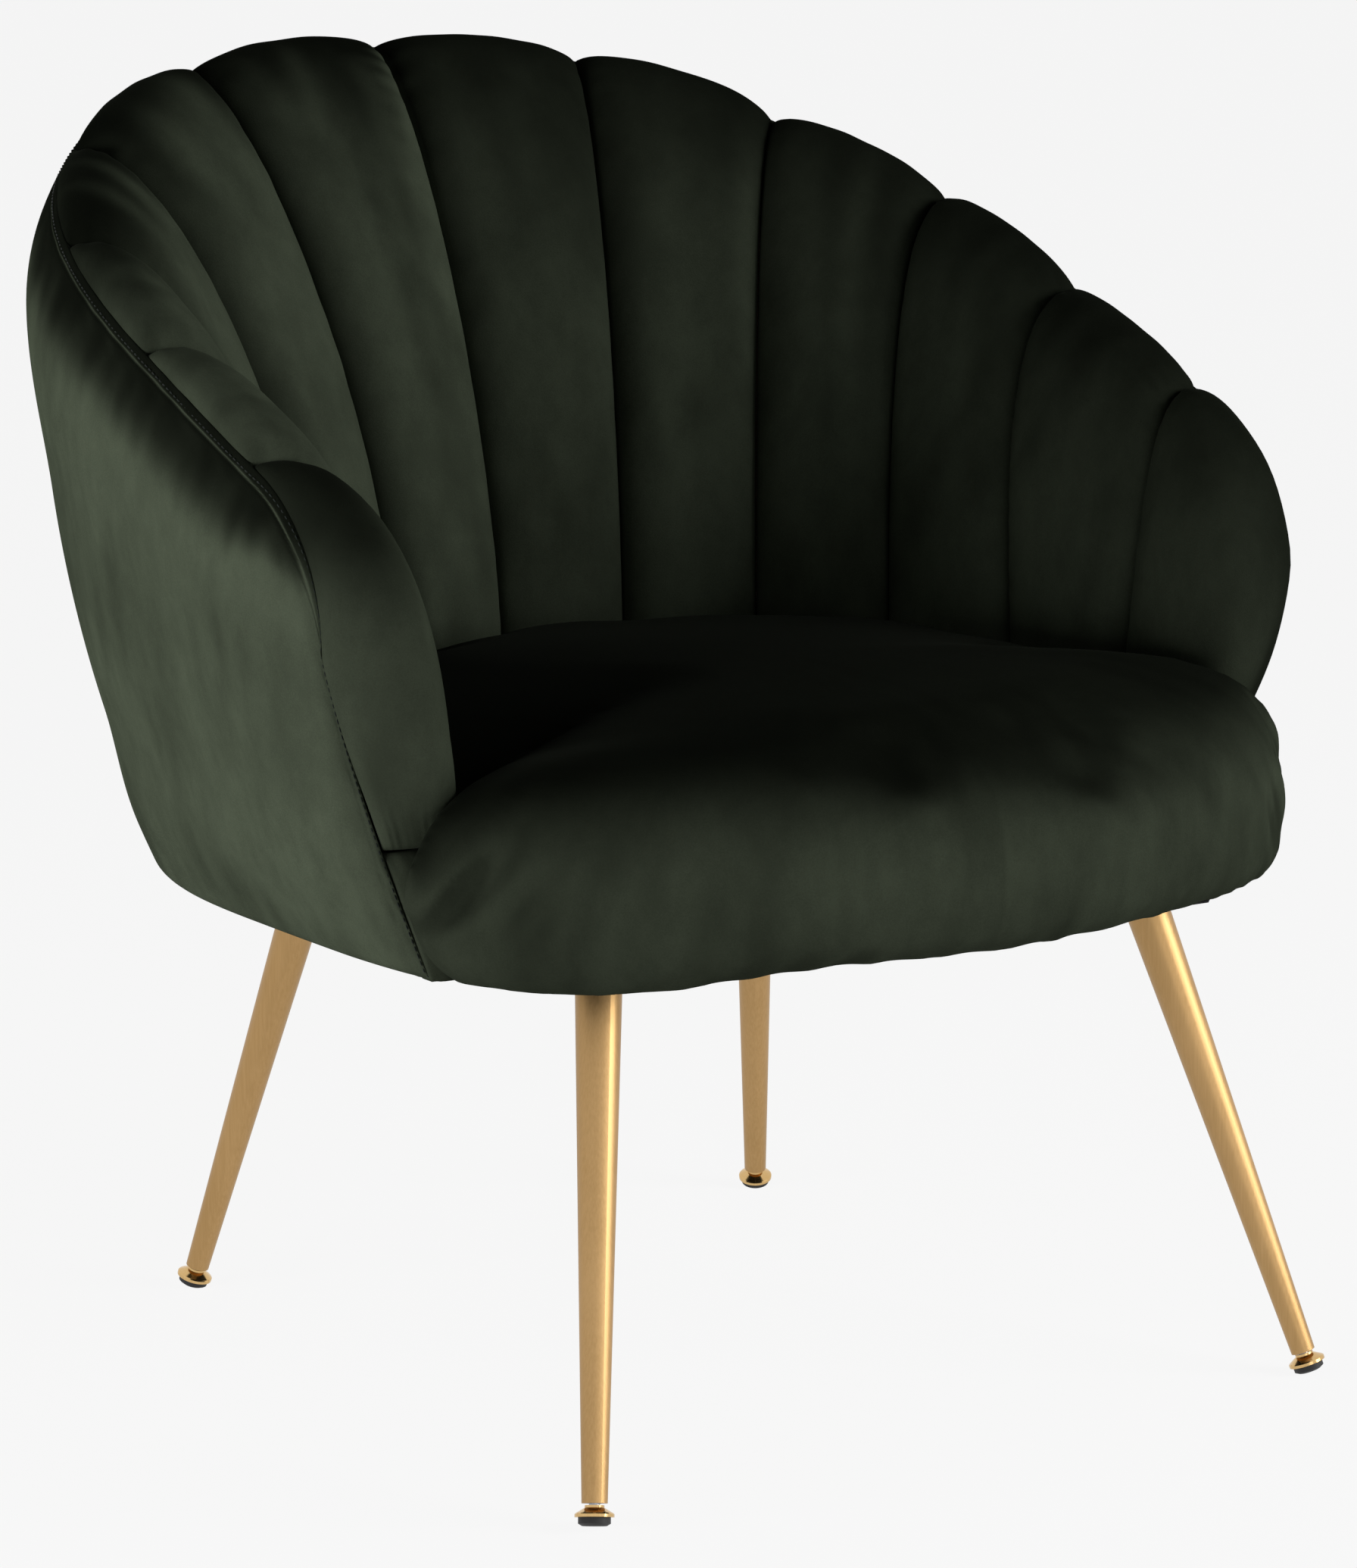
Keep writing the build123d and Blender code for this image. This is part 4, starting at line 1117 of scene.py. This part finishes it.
@dataclass(frozen=True)
class PaintedShadeAndNap:
    """Painted shade on faces that look up, painted light on faces that look right, and brushing in places.
    """

    # The stored share holds painted light and shade, and the brushing.
    attribute: ClassVar[str] = "nap"
    # Painted shade on faces that look up: where it starts, where it is full, and its share there.
    up_shade_from: float = 0.05
    up_shade_full: float = 0.72
    up_shade_share: float = 0.05
    # Painted light on sloping faces that look right, painted shade on those that look left.
    lean: float = 0.65
    left_shade: float = 0.24
    side_light_from: float = 0.05
    side_light_blend: float = 0.3
    ragged: float = 0.045
    brushed: float = 0.18
    streaked: float = 0.10
    patch_size: float = 0.15
    streak_size: float = 0.035
    ragged_size: float = 0.022

    def painted_share(self, piece: bpy.types.Object, painted_shading: tuple[Array, Array] | None = None) -> None:
        """Store the share of the lighter tone on each point: painted light and shade, and brushing.

        A smooth step on the upward part of the normal paints faces that look up dark, as shade under low
        lamps;
        it counts for less where a sloping face looks to the right, painted lighter as lit from the right.
        Painted light and shade given per piece replaces it by its weight. This is times soft patches and
        finer streaks of brushing.

        Args:
            piece: A velvet piece.
            painted_shading: Painted light and shade given per piece: the weight of that on each point, and
                its share there.
        """
        mesh = piece.data
        count = len(mesh.vertices)
        p, n = np.empty(count * 3), np.empty(count * 3)
        mesh.vertices.foreach_get("co", p)
        mesh.vertices.foreach_get("normal", n)
        p, n = p.reshape(-1, 3), n.reshape(-1, 3)
        # Painted light and shade by the side a face looks to: lighter to the right, darker to the left.
        turn = self.lean * np.maximum(n[:, 0], 0) + self.left_shade * np.minimum(n[:, 0], 0)
        up = n[:, 2] - turn * smooth((n[:, 2] - self.side_light_from) / self.side_light_blend)
        around = np.arctan2(p[:, 0], p[:, 1] + 0.1) * 0.3
        up = up + self.ragged * ripple(around / self.ragged_size + p[:, 1] / 0.1, p[:, 2] / 0.07, 25)
        # Painted shade: faces that look up turn dark, as the low lamps leave them in shade.
        upright = lerp(1.0, self.up_shade_share, smooth((up - self.up_shade_from) / (self.up_shade_full - self.up_shade_from)))
        if painted_shading is not None:
            upright = lerp(upright, painted_shading[1], painted_shading[0])
        cloud = ripple(around / self.patch_size + p[:, 1] / 0.3, p[:, 2] / 0.24 + p[:, 1] / 0.4, 5)
        patch = smooth(0.5 + 0.75 * cloud)
        streak = ripple(around / self.streak_size, p[:, 2] / 0.12 + p[:, 1] / 0.09, 15)
        share = upright * (1 - self.brushed * patch + self.streaked * streak * (0.3 + patch))
        layer = mesh.attributes.new(self.attribute, "FLOAT", "POINT")
        layer.data.foreach_set("value", np.clip(share, 0.0, 1.0))


@dataclass(frozen=True)
class Tones:
    """A finish's darker and lighter colour, linear RGB, and its roughness."""

    dark: tuple[float, float, float]
    light: tuple[float, float, float]
    roughness: float


class Grain(Enum):
    """Shared surface effects."""

    NAP = "velvet nap"
    BRUSH = "drawn metal"
    FIBRE = "fibre"


GRAIN_LAYERS: dict[Grain, tuple[tuple[float, tuple[float, float, float]], ...]] = {
    Grain.NAP: ((16.0, (1, 1, 0.55)), (75.0, (1, 1, 0.6)), (1100.0, (1, 1, 1))),
    Grain.BRUSH: ((3.0, (1, 1, 1)), (30.0, (1, 1, 0.2)), (900.0, (1, 1, 0.02))),
    Grain.FIBRE: ((9.0, (1, 1, 1)), (120.0, (1, 0.2, 1)), (700.0, (1, 1, 1))),
}


class Effects:
    """Shader node groups that several finishes share; each puts out a mask, a roughness and a height."""

    middle_share: float = 0.45
    fine_share: float = 0.34
    height_share: float = 0.6
    mask_from: float = 0.36
    mask_to: float = 0.66

    def __init__(self) -> None:
        """Build the groups once."""
        self.groups = {grain: self.make(grain) for grain in Grain}

    def make(self, grain: Grain) -> bpy.types.NodeTree:
        """One group: layered noise on object coordinates, stretched or scaled for the effect.

        Args:
            grain: Which effect.

        Returns:
            The node group.
        """
        tree = bpy.data.node_groups.new(grain.value, "ShaderNodeTree")
        for name, kind, value in (("Vector", "NodeSocketVector", None), ("Rough", "NodeSocketFloat", 0.5),
                                  ("Change", "NodeSocketFloat", 0.1)):
            socket = tree.interface.new_socket(name=name, in_out="INPUT", socket_type=kind)
            if value is not None:
                socket.default_value = value
        for name in ("Mask", "Roughness", "Height"):
            tree.interface.new_socket(name=name, in_out="OUTPUT", socket_type="NodeSocketFloat")
        nodes, links = tree.nodes, tree.links
        inside, outside = nodes.new("NodeGroupInput"), nodes.new("NodeGroupOutput")
        layers = []
        for scale, stretch in GRAIN_LAYERS[grain]:
            mapping = nodes.new("ShaderNodeMapping")
            mapping.inputs["Scale"].default_value = stretch
            links.new(inside.outputs["Vector"], mapping.inputs["Vector"])
            noise = nodes.new("ShaderNodeTexNoise")
            noise.inputs["Scale"].default_value = scale
            noise.inputs["Detail"].default_value = 4.0
            noise.inputs["Roughness"].default_value = 0.6
            links.new(mapping.outputs["Vector"], noise.inputs["Vector"])
            layers.append(noise.outputs["Fac"])
        broad, middle, fine = layers
        mix = self.weigh(tree, broad, middle, self.middle_share)
        whole = self.weigh(tree, mix, fine, self.fine_share)
        ramp = nodes.new("ShaderNodeMapRange")
        ramp.interpolation_type = "SMOOTHSTEP"
        ramp.inputs["From Min"].default_value = self.mask_from
        ramp.inputs["From Max"].default_value = self.mask_to
        links.new(whole, ramp.inputs["Value"])
        links.new(ramp.outputs["Result"], outside.inputs["Mask"])
        swing = nodes.new("ShaderNodeMath")
        swing.operation = "MULTIPLY_ADD"
        links.new(ramp.outputs["Result"], swing.inputs[0])
        links.new(inside.outputs["Change"], swing.inputs[1])
        links.new(inside.outputs["Rough"], swing.inputs[2])
        links.new(swing.outputs["Value"], outside.inputs["Roughness"])
        height = self.weigh(tree, middle, fine, self.height_share)
        links.new(height, outside.inputs["Height"])
        return tree

    @staticmethod
    def weigh(tree: bpy.types.NodeTree, a: bpy.types.NodeSocket, b: bpy.types.NodeSocket,
              share: float) -> bpy.types.NodeSocket:
        """Blend of two values.

        Args:
            tree: Node tree to build in.
            a: First value.
            b: Second value.
            share: Share of the second.

        Returns:
            The blended value's socket.
        """
        mix = tree.nodes.new("ShaderNodeMix")
        mix.data_type = "FLOAT"
        mix.inputs[0].default_value = share
        tree.links.new(a, mix.inputs[2])
        tree.links.new(b, mix.inputs[3])
        return mix.outputs[0]


@dataclass(frozen=True)
class Finish:
    """A procedural material: colour between two tones, with the grain's roughness and relief."""

    name: str
    tones: Tones
    grain: Grain
    change: float = 0.1
    relief: float = 0.2
    depth: float = 0.0005
    metallic: float = 0.0
    specular: float = 0.4
    sheen: float = 0.0
    sheen_roughness: float = 0.3
    sheen_tint: tuple[float, float, float] = (1.0, 1.0, 1.0)
    mottle: float = 0.0

    def make(self, effects: Effects) -> bpy.types.Material:
        """The material's node tree.

        Args:
            effects: The shared groups.

        Returns:
            The new material.
        """
        material = bpy.data.materials.new(self.name)
        material.use_nodes = True
        tree = material.node_tree
        nodes, links = tree.nodes, tree.links
        shader = nodes["Principled BSDF"]
        where = nodes.new("ShaderNodeTexCoord")
        grain = nodes.new("ShaderNodeGroup")
        grain.node_tree = effects.groups[self.grain]
        links.new(where.outputs["Object"], grain.inputs["Vector"])
        grain.inputs["Rough"].default_value = self.tones.roughness
        grain.inputs["Change"].default_value = self.change
        colour = nodes.new("ShaderNodeMix")
        colour.data_type = "RGBA"
        colour.inputs[6].default_value = (*self.tones.dark, 1)
        colour.inputs[7].default_value = (*self.tones.light, 1)
        links.new(self.tone(tree, grain.outputs["Mask"]), colour.inputs[0])
        links.new(colour.outputs[2], shader.inputs["Base Color"])
        links.new(grain.outputs["Roughness"], shader.inputs["Roughness"])
        bump = nodes.new("ShaderNodeBump")
        bump.inputs["Strength"].default_value = self.relief
        bump.inputs["Distance"].default_value = self.depth
        links.new(grain.outputs["Height"], bump.inputs["Height"])
        links.new(bump.outputs["Normal"], shader.inputs["Normal"])
        shader.inputs["Metallic"].default_value = self.metallic
        shader.inputs["Specular IOR Level"].default_value = self.specular
        shader.inputs["Sheen Weight"].default_value = self.sheen
        shader.inputs["Sheen Roughness"].default_value = self.sheen_roughness
        shader.inputs["Sheen Tint"].default_value = (*self.sheen_tint, 1)
        return material

    def tone(self, tree: bpy.types.NodeTree, mask: bpy.types.NodeSocket) -> bpy.types.NodeSocket:
        """Share of the lighter tone: the grain's mask, or for pile the stored share of painted light and
        shade and brushing, flecked by that mask.

        Args:
            tree: The material's node tree.
            mask: The grain's mask.

        Returns:
            The share's socket.
        """
        if not self.mottle:
            return mask
        # Reads the stored painted light and shade, and the brushing.
        painted_share = tree.nodes.new("ShaderNodeAttribute")
        painted_share.attribute_name = PaintedShadeAndNap.attribute
        fleck = tree.nodes.new("ShaderNodeMapRange")
        fleck.inputs["To Min"].default_value = 1 - self.mottle
        fleck.inputs["To Max"].default_value = 1.0
        tree.links.new(mask, fleck.inputs["Value"])
        share = tree.nodes.new("ShaderNodeMath")
        share.operation = "MULTIPLY"
        tree.links.new(painted_share.outputs["Fac"], share.inputs[0])
        tree.links.new(fleck.outputs["Result"], share.inputs[1])
        return share.outputs["Value"]


# The velvet's dark tone is its colour in painted shade and its light tone its colour as lit by the lamps.
VELVET = Finish("green velvet", Tones((0.0030, 0.0036, 0.0025), (0.0810, 0.0980, 0.0660), 0.88), Grain.NAP,
                change=0.08, relief=0.35, depth=0.0006, specular=0.0, sheen=0.015, sheen_roughness=0.35,
                sheen_tint=(0.70, 0.80, 0.62), mottle=0.30)
THREAD = Finish("green thread", Tones((0.003, 0.005, 0.004), (0.008, 0.012, 0.009), 0.6), Grain.FIBRE,
                specular=0.3)
BRASS_SATIN = Finish("satin brass", Tones((0.40, 0.245, 0.100), (0.50, 0.315, 0.140), 0.37), Grain.BRUSH,
                     change=0.10, relief=0.08, depth=0.0002, metallic=1.0, specular=0.5)
BRASS_POLISHED = Finish("polished brass", Tones((0.60, 0.39, 0.16), (0.68, 0.47, 0.22), 0.13), Grain.BRUSH,
                        change=0.08, relief=0.03, depth=0.0001, metallic=1.0, specular=0.5)
RUBBER = Finish("black rubber", Tones((0.008, 0.008, 0.008), (0.02, 0.02, 0.02), 0.55), Grain.FIBRE)
STEEL = Finish("zinc steel", Tones((0.42, 0.43, 0.45), (0.58, 0.59, 0.6), 0.32), Grain.BRUSH, metallic=1.0)
TIMBER = Finish("beech", Tones((0.42, 0.26, 0.14), (0.58, 0.40, 0.24), 0.55), Grain.BRUSH, relief=0.2)
BOARD = Finish("fibreboard", Tones((0.24, 0.16, 0.09), (0.34, 0.24, 0.15), 0.75), Grain.FIBRE)
FELT = Finish("grey felt", Tones((0.16, 0.16, 0.15), (0.30, 0.30, 0.29), 0.92), Grain.FIBRE, relief=0.5)
DUST_CLOTH = Finish("black dust cloth", Tones((0.006, 0.006, 0.006), (0.018, 0.018, 0.018), 0.88),
                    Grain.FIBRE, relief=0.5)

NODE_FINISHES: tuple[tuple[str, Finish], ...] = (
    ("leg_nuts", STEEL), ("leg_plates", STEEL), ("plate_screws", STEEL), ("leg_", BRASS_SATIN),
    ("glide_cap", BRASS_POLISHED), ("glide_pad", RUBBER), ("glide_stud", STEEL), ("dust_cover", DUST_CLOTH),
    ("spring_felt", FELT), ("seat_springs", STEEL), ("spring_clips", STEEL), ("base_board", BOARD),
    ("back_lining", BOARD), ("rim_hoop", BOARD), ("front_rail", TIMBER), ("rear_rail", TIMBER),
    ("side_rail", TIMBER), ("corner_blocks", TIMBER), ("upright", TIMBER))


class Wardrobe:
    """All finishes, made once, and the dressing of pieces and frame nodes in them."""

    def __init__(self) -> None:
        """Make the shared effects and an empty store of materials."""
        self.effects = Effects()
        self.nap = PaintedShadeAndNap()
        self.made: dict[str, bpy.types.Material] = {}

    def material(self, finish: Finish) -> bpy.types.Material:
        """The material of a finish, made at its first use."""
        if finish.name not in self.made:
            self.made[finish.name] = finish.make(self.effects)
        return self.made[finish.name]

    def dress(self, piece: bpy.types.Object, finish: Finish,
              painted_shading: tuple[Array, Array] | None = None) -> None:
        """Give a piece its finish and its body.

        Args:
            piece: The new piece.
            finish: Its finish.
            painted_shading: Weight and share of the painted light and shade, as
                PaintedShadeAndNap.painted_share takes them.
        """
        piece.data.materials.append(self.material(finish))
        # Stores the painted light and shade, and the brushing, on the piece.
        if finish.mottle:
            self.nap.painted_share(piece, painted_shading)
        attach(piece, BODY)
        LOG.info("%s: %s, %d faces", piece.name, finish.name, len(piece.data.polygons))

    def dress_frame(self, nodes: dict[str, bpy.types.Object]) -> None:
        """Give every node that stays a finish by its name."""
        for name, node in nodes.items():
            finish = next((f for prefix, f in NODE_FINISHES if name.startswith(prefix)), VELVET)
            for slot in node.material_slots:
                slot.material = self.material(finish)
            LOG.info("%s: %s", name, finish.name)


@dataclass(frozen=True)
class Lamp:
    """A soft rectangular light: place, aim, size in metres, power in watts, whether gloss mirrors it."""

    name: str
    place: tuple[float, float, float]
    aim: tuple[float, float, float]
    size: tuple[float, float]
    power: float
    mirrored: bool = True

    def build(self) -> None:
        """Add the lamp."""
        data = bpy.data.lights.new(self.name, "AREA")
        data.shape = "RECTANGLE"
        data.size, data.size_y = self.size
        data.energy = self.power
        lamp = bpy.data.objects.new(self.name, data)
        lamp.location = self.place
        lamp.visible_glossy = self.mirrored
        lamp.rotation_euler = (Vector(self.aim) - Vector(self.place)).to_track_quat("-Z", "Y").to_euler()
        bpy.context.scene.collection.objects.link(lamp)


@dataclass(frozen=True)
class Studio:
    """Pale floor, white surroundings, soft lamps and the camera."""

    azimuth: float = math.radians(-33.66)
    elevation: float = math.radians(10.01)
    distance: float = 2.936
    target: tuple[float, float, float] = (0.0, -0.045, 0.372)
    lens: float = 116.8
    shift: tuple[float, float] = (-0.01295, -0.0485)
    floor_size: float = 80.0
    floor_tone: float = 0.86
    floor_roughness: float = 0.9
    surround: float = 0.08
    floor_glow: float = 0.90
    lamps: tuple[Lamp, ...] = (
        Lamp("left", (-2.8, -0.30, 0.42), (0.0, 0.0, 0.40), (2.2, 0.8), 56.0, mirrored=False),
        Lamp("right", (1.9, -2.3, 1.10), (0.0, 0.0, 0.45), (1.6, 1.2), 52.0),
        Lamp("front", (-0.6, -3.1, 0.45), (0.0, 0.0, 0.42), (1.6, 0.8), 4.0))

    def camera(self) -> None:
        """Camera at the photograph's viewing angle."""
        data = bpy.data.cameras.new("camera")
        data.lens = self.lens
        data.shift_x, data.shift_y = self.shift
        level = math.cos(self.elevation)
        across, ahead = math.sin(self.azimuth) * level, -math.cos(self.azimuth) * level
        back = Vector((across, ahead, math.sin(self.elevation)))
        camera = bpy.data.objects.new("camera", data)
        camera.location = Vector(self.target) + back * self.distance
        camera.rotation_euler = (-back).to_track_quat("-Z", "Y").to_euler()
        bpy.context.scene.collection.objects.link(camera)
        bpy.context.scene.camera = camera

    @staticmethod
    def seen(tree: bpy.types.NodeTree) -> bpy.types.NodeSocket:
        """Mask of the rays that see the surroundings: from the camera, off gloss or through glass."""
        path = tree.nodes.new("ShaderNodeLightPath")
        total = path.outputs["Is Camera Ray"]
        for name in ("Is Glossy Ray", "Is Transmission Ray"):
            most = tree.nodes.new("ShaderNodeMath")
            most.operation = "MAXIMUM"
            tree.links.new(total, most.inputs[0])
            tree.links.new(path.outputs[name], most.inputs[1])
            total = most.outputs["Value"]
        return total

    def world(self) -> None:
        """White to the camera and to gloss, a dimmer even light on everything else."""
        world = bpy.data.worlds.new("surround")
        world.use_nodes = True
        tree = world.node_tree
        light = tree.nodes["Background"]
        light.inputs["Color"].default_value = (1, 1, 1, 1)
        level = tree.nodes.new("ShaderNodeMapRange")
        level.inputs["To Min"].default_value = self.surround
        level.inputs["To Max"].default_value = 1.0
        tree.links.new(self.seen(tree), level.inputs["Value"])
        tree.links.new(level.outputs["Result"], light.inputs["Strength"])
        bpy.context.scene.world = world

    def floor(self) -> None:
        """Large pale floor that shows white yet keeps the chair's shadow."""
        half = self.floor_size / 2 / MM
        corners = np.array([[-half, -half, 0], [half, -half, 0], [half, half, 0], [-half, half, 0]])
        floor = make_piece("floor", corners, [[0, 1, 2, 3]])
        material = bpy.data.materials.new("pale floor")
        material.use_nodes = True
        tree = material.node_tree
        shader = tree.nodes["Principled BSDF"]
        shader.inputs["Base Color"].default_value = (self.floor_tone, self.floor_tone, self.floor_tone, 1)
        shader.inputs["Roughness"].default_value = self.floor_roughness
        shader.inputs["Specular IOR Level"].default_value = 0.0
        glow = tree.nodes.new("ShaderNodeEmission")
        glow.inputs["Strength"].default_value = 1.0
        share = tree.nodes.new("ShaderNodeMath")
        share.operation = "MULTIPLY"
        share.inputs[1].default_value = self.floor_glow
        tree.links.new(self.seen(tree), share.inputs[0])
        mix = tree.nodes.new("ShaderNodeMixShader")
        tree.links.new(share.outputs["Value"], mix.inputs[0])
        tree.links.new(shader.outputs["BSDF"], mix.inputs[1])
        tree.links.new(glow.outputs["Emission"], mix.inputs[2])
        tree.links.new(mix.outputs["Shader"], tree.nodes["Material Output"].inputs["Surface"])
        floor.data.materials.append(material)

    def build(self) -> None:
        """Set up the whole studio."""
        bpy.context.scene.view_settings.view_transform = "Standard"
        self.camera()
        self.world()
        self.floor()
        for lamp in self.lamps:
            lamp.build()


def main() -> None:
    """Build and dress every piece and set the stage."""
    logging.basicConfig(level=logging.INFO, format="%(message)s")
    shape = ShellShape()
    wardrobe = Wardrobe()
    wardrobe.dress_frame(frame["nodes"])
    channels = Channels(shape)
    for number in range(1, channels.count + 1):
        flute = channels.build(number)
        wardrobe.dress(flute, VELVET, painted_shading=channels.painted_shading(number))
    wall = OuterWall(shape)
    wardrobe.dress(wall.build(), VELVET, painted_shading=wall.painted_shading())
    wardrobe.dress(Topstitch(wall).build(), THREAD)
    gussets = ArmGussets(shape)
    for side in Side:
        strip = gussets.build(side)
        wardrobe.dress(strip, VELVET, painted_shading=gussets.painted_shading(side))
    seat = Seat(shape)
    cover = seat.build()
    wardrobe.dress(cover, VELVET, painted_shading=seat.painted_shading(cover))
    Studio().build()


if __name__ == "__main__":
    main()
